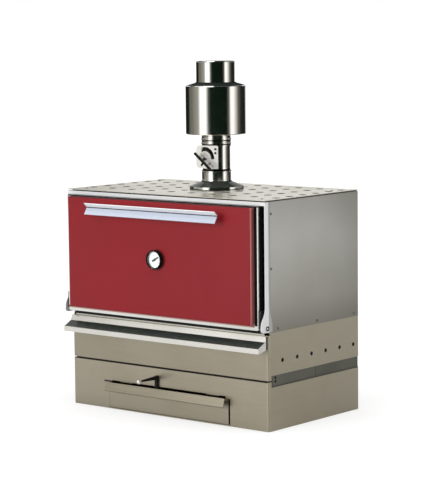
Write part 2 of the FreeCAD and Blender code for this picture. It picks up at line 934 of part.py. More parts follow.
def handle_line():
    edge_y = fold_y - handle_open
    return [(edge_y, handle_z + handle_upper), (fold_y, handle_z), (edge_y, handle_z - handle_lower)]


def door_handle():
    return prism_x(folded(handle_line(), handle_thickness), -handle_half, handle_half)


def handle_standoffs():
    """Posts whose ends are cut to the back of the handle's fold."""
    reach = fold_y - handle_open
    root = Vector(standoff_x, panel_face, handle_z)
    post = rod(root, Vector(standoff_x, reach, handle_z), standoff_radius)
    ahead = reach - through
    behind = folded(handle_line(), handle_thickness)[3:]
    outline = [(ahead, behind[0][1])] + behind + [(ahead, behind[-1][1])]
    mouth = prism_x(outline, standoff_x - standoff_radius - through, standoff_x + standoff_radius + through)
    return both_sides([whole(post.cut(mouth))])


def disc_y(radius, y0, y1):
    """A round disc about the thermometer's axis."""
    return rod(Vector(0, y0, thermo_z), Vector(0, y1, thermo_z), radius)


def thermometer_case():
    cup = disc_y(case_radius, panel_face - case_depth, panel_face)
    bore = disc_y(case_bore, panel_face - case_depth - through, dial_y)
    seat = disc_y(glass_radius + seat_gap, panel_face - case_depth - through, panel_face - glass_seat)
    pivot = disc_y(spindle_radius + fit_gap, dial_y - through, dial_y + spindle_depth)
    return whole(cup.cut(bore).cut(seat).cut(pivot))


def thermometer_dial():
    dial = disc_y(case_bore - seat_gap, dial_y - dial_thickness, dial_y)
    return whole(dial.cut(disc_y(spindle_radius + fit_gap, dial_y - through, dial_y + through)))


def thermometer_glass():
    seat = panel_face - glass_seat
    return disc_y(glass_radius, seat - glass_thickness, seat)


def thermometer_stem():
    return disc_y(stem_radius, panel_face, front + stem_reach)


def thermometer_pointer():
    """A tapered needle on a hub, with a spindle that turns in the dial."""
    fore = pointer_y - pointer_thickness
    wide = pointer_width / 2.0
    slim = pointer_tip / 2.0
    tip = thermo_z + pointer_length
    tail = thermo_z - pointer_tail
    needle = prism_y([(-wide, tail), (wide, tail), (slim, tip), (-slim, tip)], fore, pointer_y)
    hub = disc_y(pointer_hub, fore, pointer_y)
    spindle = disc_y(spindle_radius, pointer_y, dial_y + spindle_depth - seat_gap)
    pointer = fused([needle, hub, spindle])
    return pointer.rotated(Vector(0, 0, thermo_z), Vector(0, 1, 0), pointer_angle)


def flue_spigot():
    return spun([(flue_bore, roof_top), (spigot_flange, roof_top), (spigot_flange, roof_top + sheet),
                 (pipe_radius, roof_top + sheet), (pipe_radius, pipe_z), (flue_bore, pipe_z)])


def flue_collar():
    """A spun dish with an upright rim, a shallow cone and a lip round the sleeve."""
    bore = sleeve_radius + seat_gap
    neck = bore + sheet
    crown = top_z + collar_rise
    line = [(collar_radius, top_z), (collar_radius, top_z + collar_rim), (collar_cone_radius, crown),
            (neck, crown + sheet), (neck, crown + sheet + collar_lip)]
    return spun(folded(line, sheet))


def lower_sleeve():
    bore = pipe_radius + seat_gap
    bead = sleeve_radius + sleeve_bead
    low = top_z + sleeve_lift
    shoulder = pipe_z - sleeve_bead_height
    return spun([(bore, low), (sleeve_radius, low), (sleeve_radius, shoulder),
                 (bead, shoulder + sleeve_bead), (bead, pipe_z - sleeve_bead), (sleeve_radius, pipe_z),
                 (bore, pipe_z)])


def damper_pipe():
    tube = spun([(flue_bore, pipe_z), (pipe_radius, pipe_z), (pipe_radius, pipe_top), (flue_bore, pipe_top)])
    reach = pipe_radius + through
    fore = Vector(0, flue_y - reach, damper_z)
    hole = rod(fore, Vector(0, flue_y + reach, damper_z), shaft_radius + fit_gap)
    return whole(tube.cut(hole))


def upper_coupler():
    """A clamping band with two swaged ribs, over the joint of pipe and drum."""
    bore = pipe_radius + seat_gap
    skin = bore + coupler_wall
    rib = skin + coupler_rib
    low = pipe_top - coupler_overlap
    high = pipe_top + drum_neck - seat_gap
    outline = [(bore, low), (skin, low)]
    for start in (low + coupler_rib_height, high - 2.0 * coupler_rib_height):
        end = start + coupler_rib_height
        outline += [(skin, start), (rib, start + coupler_rib), (rib, end - coupler_rib), (skin, end)]
    outline += [(skin, high), (bore, high)]
    return spun(outline)


def firebreak_drum():
    """Neck, flare, drum and cone in one spun skin."""
    neck_top = pipe_top + drum_neck
    lip = outlet_radius + seat_gap + sheet
    line = [(pipe_radius, pipe_top), (pipe_radius, neck_top), (pipe_radius + drum_flare, drum_z),
            (drum_radius - drum_edge, drum_z), (drum_radius, drum_z + drum_edge),
            (drum_radius, drum_top - drum_edge), (drum_radius - drum_edge, drum_top), (lip, outlet_z),
            (lip, outlet_z + sheet)]
    return spun(folded(line, sheet))


def outlet_pipe():
    bore = outlet_radius - sheet
    bead = outlet_radius + outlet_bead
    low = outlet_z - outlet_tuck
    shoulder = outlet_top - outlet_bead_height
    return spun([(bore, low), (outlet_radius, low), (outlet_radius, shoulder),
                 (bead, shoulder + outlet_bead), (bead, outlet_top - outlet_bead),
                 (outlet_radius, outlet_top), (bore, outlet_top)])


def spark_baffle():
    """An upturned cone over the inlet, on legs that stand on the drum's floor."""
    line = [(baffle_radius, baffle_z), (sheet, baffle_z + baffle_rise)]
    cone = folded(line, sheet)
    shell = spun([(0.0, cone[1][1]), cone[1], cone[0], cone[3], cone[2], (0.0, cone[2][1])])
    stand = (pipe_radius + baffle_radius) / 2.0 + baffle_leg_radius
    slope = baffle_rise / (baffle_radius - sheet)
    leg_top = baffle_z + (baffle_radius - stand) * slope
    pieces = [shell]
    for index in range(baffle_legs):
        angle = 2.0 * math.pi * index / baffle_legs
        x = stand * math.cos(angle)
        y = flue_y + stand * math.sin(angle)
        pieces.append(rod(Vector(x, y, drum_z + sheet), Vector(x, y, leg_top), baffle_leg_radius))
    return fused(pieces)


def damper_plate():
    """The index plate: a rounded plate with an arc slot, on a boss that carries the shaft."""
    low = damper_z - index_below
    high = damper_z + index_above
    face = box(-index_left, index_right, index_front, index_back, low, high)
    depthwise = Vector(0, 1, 0)
    face = face.makeFillet(index_curve, edges_along(face, depthwise, lambda centre: centre.x < 0.0))
    right = index_right - tolerance
    face = face.makeFillet(index_corner, edges_along(face, depthwise, lambda centre: centre.x > right))
    inner = index_slot_radius - index_slot_width / 2.0
    ahead = Vector(0, index_front - through, damper_z)
    behind = Vector(0, index_back + through, damper_z)
    ring = rod(ahead, behind, inner + index_slot_width).cut(rod(ahead, behind, inner))
    reach = index_right + index_above
    angles = (index_slot_start, (index_slot_start + index_slot_end) / 2.0, index_slot_end)
    fan = [(0.0, damper_z)]
    for angle in angles:
        fan.append((reach * math.cos(math.radians(angle)), damper_z + reach * math.sin(math.radians(angle))))
    slot = ring.common(prism_y(fan, ahead.y, behind.y))
    boss = rod(Vector(0, index_back, damper_z), Vector(0, flue_y, damper_z), index_boss)
    above = Vector(0, flue_y, damper_z + index_boss + through)
    below = Vector(0, flue_y, damper_z - index_boss - through)
    boss = boss.cut(rod(below, above, pipe_radius))
    hole = rod(ahead, Vector(0, flue_y, damper_z), shaft_radius + fit_gap)
    bolt_x = index_right - index_bolt_side
    bolts = []
    for drop in index_bolt_drops:
        root = Vector(bolt_x, index_front, high - drop)
        bolts.append(rod(root, root - Vector(0, index_bolt, 0), index_bolt_radius))
    return whole(face.cut(slot).multiFuse([boss] + bolts).cut(hole))


def turned(shape):
    """A damper piece modelled with its blade level, turned to the photographed angle."""
    return shape.rotated(Vector(0, flue_y, damper_z), Vector(0, 1, 0), damper_tilt)


def damper_shaft():
    tail = flue_y + pipe_radius + shaft_tail
    shaft = rod(Vector(0, strip_back, damper_z), Vector(0, tail, damper_z), shaft_radius)
    flat = box(-shaft_radius, shaft_radius, flue_y - flue_bore, flue_y + flue_bore,
               damper_z, damper_z + shaft_radius)
    return turned(whole(shaft.cut(flat)))


def damper_blade():
    blade = Part.makeCylinder(flue_bore - blade_gap, blade_thickness, Vector(0, flue_y, damper_z))
    return turned(blade)


def damper_studs(radius):
    return [rod(Vector(x, strip_front, damper_z), Vector(x, grip_y, damper_z), radius)
            for x in (-stud_left, stud_right)]


def damper_lever():
    """A strip on the end of the shaft, with the pivot nut and the two studs that carry the grip."""
    round_end = damper_strip_width / 2.0
    strip = box(round_end - damper_strip_left, damper_strip_right - round_end, strip_front, strip_back,
                damper_z - round_end, damper_z + round_end)
    ends = [rod(Vector(x, strip_front, damper_z), Vector(x, strip_back, damper_z), round_end)
            for x in (round_end - damper_strip_left, damper_strip_right - round_end)]
    nut_top = Vector(0, strip_front - pivot_nut, damper_z)
    nut = rod(nut_top, Vector(0, strip_front, damper_z), pivot_nut_radius)
    return turned(fused([strip] + ends + [nut] + damper_studs(stud_radius)))


def damper_grip():
    middle = (stud_right - stud_left) / 2.0
    start = Vector(middle - grip_length / 2.0, grip_y, damper_z)
    bar = rod(start, start + Vector(grip_length, 0, 0), grip_radius)
    root = Vector(middle + grip_knob_place, grip_y, damper_z)
    knob = rod(root, root - Vector(0, 0, grip_knob), grip_knob_radius)
    return turned(whole(bar.fuse(knob).cut(damper_studs(stud_radius))))


def screw_head(point, outward):
    return Part.makeCone(screw_radius, screw_crown, screw_height, point, outward)


def casing_screws():
    """Screw heads on the skins, the joining band and the top cover."""
    right = Vector(1, 0, 0)
    low_z = skin_z + skin_screw_low
    fore = front + skin_screw_front
    rear = back - skin_screw_back
    side = [screw_head(Vector(half, y, low_z), right) for y in (fore, (fore + rear) / 2.0, rear)]
    edge_y = post_edge + skin_screw_edge
    side += [screw_head(Vector(half, edge_y, skin_top - drop), right) for drop in skin_screw_drops]
    band_z = (base_height + casing_z) / 2.0
    band_y = front + corner_wrap + band_screw_y
    side += [screw_head(Vector(half - band_recess, band_y, band_z + z), right)
             for z in (-band_screw_spread, band_screw_spread)]
    side += [screw_head(Vector(half - cover_screw_side, y, top_z), Vector(0, 0, 1))
             for y in (front + cover_screw_front, back - cover_screw_back)]
    return both_sides(side)


pieces = {
    "base_floor": base_floor(),
    "base_cabinet": base_cabinet(),
    "base_deck": base_deck(),
    "rear_panels": rear_panels(),
    "drawer_runners": drawer_runners(),
    "joining_rails": joining_rails(),
    "lower_casing": lower_casing(),
    "side_skin_right": side_skin(),
    "side_skin_left": mirrored(side_skin()),
    "side_post_right": side_post(),
    "side_post_left": mirrored(side_post()),
    "hinge_pins": hinge_pins(),
    "front_frame": front_frame(),
    "top_rail": top_rail(),
    "top_frame": top_frame(),
    "top_cover": top_cover(),
    "drip_ledge": drip_ledge(),
    "casing_screws": casing_screws(),
    "liner_floor": liner_floor(),
    "liner_walls": liner_walls(),
    "liner_roof": liner_roof(),
    "insulation": insulation(),
    "firebox_plates": firebox_plates(),
    "fire_grate": fire_grate(),
    "ash_chute": ash_chute(),
    "rack_guides": rack_guides(),
    "cooking_racks": cooking_racks(),
    "air_grid": air_grid(),
    "air_shutter": air_shutter(),
    "air_lever": air_lever(),
    "air_knob": air_knob(),
    "drawer_front": drawer_front(),
    "drawer_tray": drawer_tray(),
    "drawer_pull": drawer_pull(),
    "door_panel": door_panel(),
    "door_pan": door_pan(),
    "door_insulation": door_insulation(),
    "door_liner": door_liner(),
    "door_seal": door_seal(),
    "hinge_ears": hinge_ears(),
    "door_handle": door_handle(),
    "handle_standoffs": handle_standoffs(),
    "thermometer_case": thermometer_case(),
    "thermometer_dial": thermometer_dial(),
    "thermometer_glass": thermometer_glass(),
    "thermometer_stem": thermometer_stem(),
    "thermometer_pointer": thermometer_pointer(),
    "flue_spigot": flue_spigot(),
    "flue_collar": flue_collar(),
    "lower_sleeve": lower_sleeve(),
    "damper_pipe": damper_pipe(),
    "upper_coupler": upper_coupler(),
    "firebreak_drum": firebreak_drum(),
    "outlet_pipe": outlet_pipe(),
    "spark_baffle": spark_baffle(),
    "damper_plate": damper_plate(),
    "damper_shaft": damper_shaft(),
    "damper_blade": damper_blade(),
    "damper_lever": damper_lever(),
    "damper_grip": damper_grip(),
}

os.makedirs("parts", exist_ok=True)
for name, shape in pieces.items():
    shape.exportStep(f"parts/{name}.step")
    print(name, len(shape.Solids), shape.isValid(), round(shape.Volume))
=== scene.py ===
import bpy
import bmesh
import math
import numpy as np
from mathutils import Matrix, Vector


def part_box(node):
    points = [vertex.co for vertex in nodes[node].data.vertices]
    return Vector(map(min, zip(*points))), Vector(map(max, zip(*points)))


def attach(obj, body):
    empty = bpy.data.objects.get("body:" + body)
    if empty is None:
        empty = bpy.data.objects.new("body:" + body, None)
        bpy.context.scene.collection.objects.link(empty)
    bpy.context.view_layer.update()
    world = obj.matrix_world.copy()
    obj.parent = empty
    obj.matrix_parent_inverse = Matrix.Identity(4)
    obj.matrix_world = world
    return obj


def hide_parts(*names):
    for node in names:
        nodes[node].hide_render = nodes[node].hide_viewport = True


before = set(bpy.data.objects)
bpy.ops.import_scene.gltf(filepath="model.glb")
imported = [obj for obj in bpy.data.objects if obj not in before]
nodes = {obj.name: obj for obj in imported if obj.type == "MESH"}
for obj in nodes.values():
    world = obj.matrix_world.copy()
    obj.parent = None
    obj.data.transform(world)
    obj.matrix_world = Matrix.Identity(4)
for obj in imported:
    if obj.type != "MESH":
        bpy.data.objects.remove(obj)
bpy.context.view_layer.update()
scene = bpy.context.scene
scene.view_settings.view_transform = "Standard"
mm = 0.001
fullTurn = 2.0 * math.pi
edgeAngle = 40.0  # degrees; edges of turned pieces that are sharper stay crisp
print("frame loaded,", len(nodes), "nodes")


def roundTurn(count):  # angles that stand evenly round a full turn
    return np.linspace(0.0, fullTurn, count, endpoint=False)


# mesh from one or more grids of points: each cell between four neighbours is one face,
# and a wrapped direction joins its last row to its first
def gridPiece(name, grid, wrapU=False, wrapV=False, smooth=True, crease=None):
    grid = grid.reshape(-1, *grid.shape[-3:])
    index = np.arange(grid[..., 0].size).reshape(grid.shape[:3])
    if wrapU:
        index = np.concatenate([index, index[:, :1]], axis=1)
    if wrapV:
        index = np.concatenate([index, index[:, :, :1]], axis=2)
    corners = [index[:, :-1, :-1], index[:, 1:, :-1], index[:, 1:, 1:], index[:, :-1, 1:]]
    cells = np.stack(corners, axis=-1)
    mesh = bpy.data.meshes.new(name)
    mesh.from_pydata(grid.reshape(-1, 3).tolist(), [], cells.reshape(-1, 4).tolist())
    work = bmesh.new()
    work.from_mesh(mesh)
    bmesh.ops.remove_doubles(work, verts=work.verts, dist=1e-7)  # closes poles and seams
    bmesh.ops.recalc_face_normals(work, faces=work.faces)
    work.to_mesh(mesh)
    work.free()
    mesh.polygons.foreach_set("use_smooth", np.full(len(mesh.polygons), smooth))
    if crease:
        mesh.set_sharp_from_angle(angle=math.radians(crease))
    piece = bpy.data.objects.new(name, mesh)
    scene.collection.objects.link(piece)
    return piece


# closed outline with its corners rounded: every corner becomes a short quadratic curve
# from a point before it to a point after it, with a guard point at each end; a corner takes
# at most a set share of a side
def roundedOutline(corners, radius, steps, largestShare=0.3, guard=1.4):
    corners = np.asarray(corners, float)
    before = np.roll(corners, 1, axis=0) - corners
    after = np.roll(corners, -1, axis=0) - corners
    lengthBefore = np.linalg.norm(before, axis=1, keepdims=True)
    lengthAfter = np.linalg.norm(after, axis=1, keepdims=True)
    cut = np.minimum(radius, largestShare * np.minimum(lengthBefore, lengthAfter))
    start = (corners + before / lengthBefore * cut)[:, None]
    end = (corners + after / lengthAfter * cut)[:, None]
    share = np.linspace(0.0, 1.0, steps)[None, :, None]
    middle = 2 * share * (1 - share) * corners[:, None]
    curve = (1 - share) ** 2 * start + middle + share ** 2 * end
    guardStart = (corners + before / lengthBefore * cut * guard)[:, None]
    guardEnd = (corners + after / lengthAfter * cut * guard)[:, None]
    return np.concatenate([guardStart, curve, guardEnd], axis=1).reshape(-1, 2)


# surface of revolution: outline points (radius, height) turned round an axis line
def turnedGrid(outline, centre, axis, segments):
    axis = Vector(axis).normalized()
    side = axis.orthogonal().normalized()
    other = axis.cross(side)
    angle = roundTurn(segments)[:, None, None]
    radius = outline[None, :, 0:1]
    height = outline[None, :, 1:2]
    spoke = np.cos(angle) * np.array(side) + np.sin(angle) * np.array(other)
    return np.array(centre) + radius * spoke + height * np.array(axis)


def middleOf(name):
    return np.mean(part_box(name), axis=0)


def finishPiece(piece, material, body, stands=()):
    piece.data.materials.append(material)
    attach(piece, body)
    if stands:
        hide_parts(*stands)
    return piece


# node helpers: fill() sets what is a number and links what is a socket, put() adds a node and fills it
def fill(tree, item, values):
    for key, value in values.items():
        if isinstance(value, bpy.types.NodeSocket):
            tree.links.new(value, item.inputs[key])
        else:
            item.inputs[key].default_value = value


def put(tree, kind, values=None, **settings):
    item = tree.nodes.new(kind)
    for key, value in settings.items():
        setattr(item, key, value)
    fill(tree, item, values or {})
    return item


def startMaterial(name):
    material = bpy.data.materials.new(name)
    material.use_nodes = True
    tree = material.node_tree
    place = tree.nodes.new("ShaderNodeTexCoord").outputs["Object"]
    return material, tree, tree.nodes["Principled BSDF"], place


def axesOf(tree, place):
    return put(tree, "ShaderNodeSeparateXYZ", {0: place}).outputs


def mapped(tree, place, scale=(1, 1, 1), shift=(0, 0, 0)):
    item = put(tree, "ShaderNodeMapping", {"Vector": place, "Scale": scale, "Location": shift})
    return item.outputs[0]


def noise(tree, place, scale, detail=3.0, stretch=(1, 1, 1), roughness=0.5):
    source = mapped(tree, place, stretch)
    return put(tree, "ShaderNodeTexNoise", {"Vector": source, "Scale": scale, "Detail": detail,
                                            "Roughness": roughness}).outputs["Fac"]


def remap(tree, value, low, high, toLow, toHigh):
    return put(tree, "ShaderNodeMapRange", {"Value": value, "From Min": low, "From Max": high,
                                            "To Min": toLow, "To Max": toHigh}).outputs["Result"]


def mixColour(tree, factor, first, second):
    return put(tree, "ShaderNodeMix", {0: factor, 6: first, 7: second}, data_type="RGBA").outputs[2]


def maths(tree, operation, first, second=0.0):
    return put(tree, "ShaderNodeMath", {0: first, 1: second}, operation=operation).outputs[0]


def times(tree, first, second):
    return maths(tree, "MULTIPLY", first, second)


def between(tree, value, low, high):  # 1 between the two, 0 elsewhere
    return times(tree, maths(tree, "GREATER_THAN", value, low), maths(tree, "LESS_THAN", value, high))


def bumpFrom(tree, height, strength, distance):
    item = put(tree, "ShaderNodeBump", {"Height": height, "Strength": strength, "Distance": distance})
    return item.outputs["Normal"]


def rgb(red, green, blue):  # screen values 0..255 to linear colour
    share = np.array([red, green, blue]) / 255.0
    linear = np.where(share <= 0.04045, share / 12.92, ((share + 0.055) / 1.055) ** 2.4)
    return (*linear.tolist(), 1.0)


# 1 inside a box given by its low and high corner, 0 outside; None leaves that side open
def insideBox(tree, place, low, high):
    axes = axesOf(tree, place)
    inside = None
    for axis, edge, test in [*zip(axes, low, ["GREATER_THAN"] * 3), *zip(axes, high, ["LESS_THAN"] * 3)]:
        if edge is not None:
            part = maths(tree, test, axis, edge)
            inside = times(tree, inside, part) if inside else part
    return inside


# distance from a line along the axis that is left out: the length across the two axes that are given
def distanceFrom(tree, place, across, centre):
    axes = axesOf(tree, place)
    level = put(tree, "ShaderNodeCombineXYZ", {0: axes[across[0]], 1: axes[across[1]]}).outputs[0]
    item = put(tree, "ShaderNodeVectorMath", {0: level, 1: (*centre, 0.0)}, operation="DISTANCE")
    return item.outputs["Value"]


# painted shade round the vents: distance to the nearest point of a square pattern, dark below the shade's
# edge, only in the rows that have holes and clear of the flue
def ventShade(tree, place, vents):
    axes = axesOf(tree, place)
    offsets = []
    for axis, start, step in zip(vents["across"], vents["start"], vents["step"]):
        turn = maths(tree, "DIVIDE", maths(tree, "SUBTRACT", axes[axis], start - step / 2.0), step)
        fromMiddle = maths(tree, "SUBTRACT", maths(tree, "FRACT", turn), 0.5)
        offsets.append(times(tree, fromMiddle, step))
    near = put(tree, "ShaderNodeCombineXYZ", {0: offsets[0], 1: offsets[1]}).outputs[0]
    away = put(tree, "ShaderNodeVectorMath", {0: near}, operation="LENGTH").outputs["Value"]
    drilled = between(tree, axes[1], *vents["rows"])
    if "flue" in vents:
        clear = distanceFrom(tree, place, vents["across"], vents["flue"])
        drilled = times(tree, drilled, maths(tree, "GREATER_THAN", clear, vents["clear"]))
    return times(tree, drilled, remap(tree, away, *vents["shadeSpan"], 1.0, 0.0))


# sheet metal: long hairlines along the brushing and faint cloudy handling marks, then what a look adds:
# painted shade fading along an axis, patches (mostly painted shade and painted reflection), level seams, a
# ring of painted shade, and a dark part, mostly painted shade and painted dark reflection, that is not bare
# metal
# near black; as the default dark tone it is mostly painted shade, and it also darkens the pipe joints
sootAndShade = (17, 17, 16)
acrossLines = (5.0, 5.0, 1400.0)
uprightLines = (1400.0, 1400.0, 5.0)
deepLines = (5.0, 1400.0, 5.0)
plainSheet = {"streak": 0.3, "lines": acrossLines, "cloud": 5.0, "metallic": 1.0, "shadeFades": (), "patches": (),
              "seams": (), "blackTone": sootAndShade, "blackWear": 0.006}  # where a look doesn't say otherwise
brushing = {"lineDetail": 3.0, "lineRoughness": 0.6, "cloudDetail": 4.0, "cloudSpan": (0.35, 0.68),
            "streakSpan": (0.3, 0.7), "roughSpan": (0.25, 0.75), "cloudRough": (0.3, 0.7, -0.03, 0.05),
            "depth": 0.4 * mm, "shine": 0.5}


def brushedMetal(name, look):
    look = {**plainSheet, **look}
    material, tree, shader, place = startMaterial(name)
    axes = axesOf(tree, place)
    lines = noise(tree, place, 1.0, brushing["lineDetail"], look["lines"], brushing["lineRoughness"])
    cloud = noise(tree, place, look["cloud"], brushing["cloudDetail"])
    plain, shade, pale = (rgb(*tone) for tone in look["tones"])
    base = mixColour(tree, remap(tree, cloud, *brushing["cloudSpan"], 0.0, 1.0), plain, shade)
    streak = remap(tree, lines, *brushing["streakSpan"], 0.0, look["streak"])
    paint = mixColour(tree, streak, base, pale)
    metallic = look["metallic"]
    # painted shade fading along an axis
    for axis, span, shadeTone in look["shadeFades"]:
        paint = mixColour(tree, remap(tree, axes[axis], *span), paint, rgb(*shadeTone))
    # patches of colour, mostly painted shade and painted reflection
    for low, high, tone in look["patches"]:
        paint = mixColour(tree, insideBox(tree, place, low, high), paint, rgb(*tone))
    for seam in look["seams"]:
        mark = put(tree, "ShaderNodeMath", {0: axes[2], 1: seam, 2: look["seamHalf"]}, operation="COMPARE")
        paint = mixColour(tree, mark.outputs[0], paint, rgb(*look["seamTone"]))
    # a ring of painted shade
    if "ring" in look:
        ring = look["ring"]
        away = distanceFrom(tree, place, ring["across"], ring["centre"])
        mark = between(tree, away, ring["near"], ring["far"])
        if "part" in ring:
            mark = times(tree, mark, insideBox(tree, place, *ring["part"]))
        paint = mixColour(tree, mark, paint, rgb(*ring["tone"]))
    # dark parts: mostly painted shade and painted dark reflection in gaps, holes and hollows, and a few
    # things that are black
    if "black" in look:
        inside = insideBox(tree, place, *look["black"][0])
        for low, high in look["black"][1:]:
            inside = maths(tree, "MAXIMUM", inside, insideBox(tree, place, low, high))
        if "vents" in look:
            inside = maths(tree, "MAXIMUM", inside, ventShade(tree, place, look["vents"]))
        wear = remap(tree, cloud, *brushing["cloudSpan"], 0.0, look["blackWear"])
        smokeAndShade = mixColour(tree, wear, rgb(*look["blackTone"]), shade)
        paint = mixColour(tree, inside, paint, smokeAndShade)
        metallic = maths(tree, "SUBTRACT", 1.0, inside)
        if "blackShine" in look:
            shine = remap(tree, inside, 0.0, 1.0, brushing["shine"], look["blackShine"])
            fill(tree, shader, {"Specular IOR Level": shine})
    rough = maths(tree, "ADD", remap(tree, lines, *brushing["roughSpan"], *look["rough"]),
                  remap(tree, cloud, *brushing["cloudRough"]))
    normal = bumpFrom(tree, lines, look["bump"], brushing["depth"])
    fill(tree, shader, {"Base Color": paint, "Roughness": rough, "Normal": normal, "Metallic": metallic})
    return material


anywhere = (None, None, None)  # a box's corner that is open on its three sides

casingLook = {"tones": ((172, 164, 146), (158, 150, 131), (186, 180, 165)),
              "streak": 0.35, "cloud": 3.0, "rough": (0.30, 0.42), "bump": 0.10}
pipeLook = {"tones": ((236, 235, 231), (226, 224, 219), (244, 244, 242)),
            "streak": 0.2, "cloud": 6.0, "rough": (0.06, 0.11), "bump": 0.02}
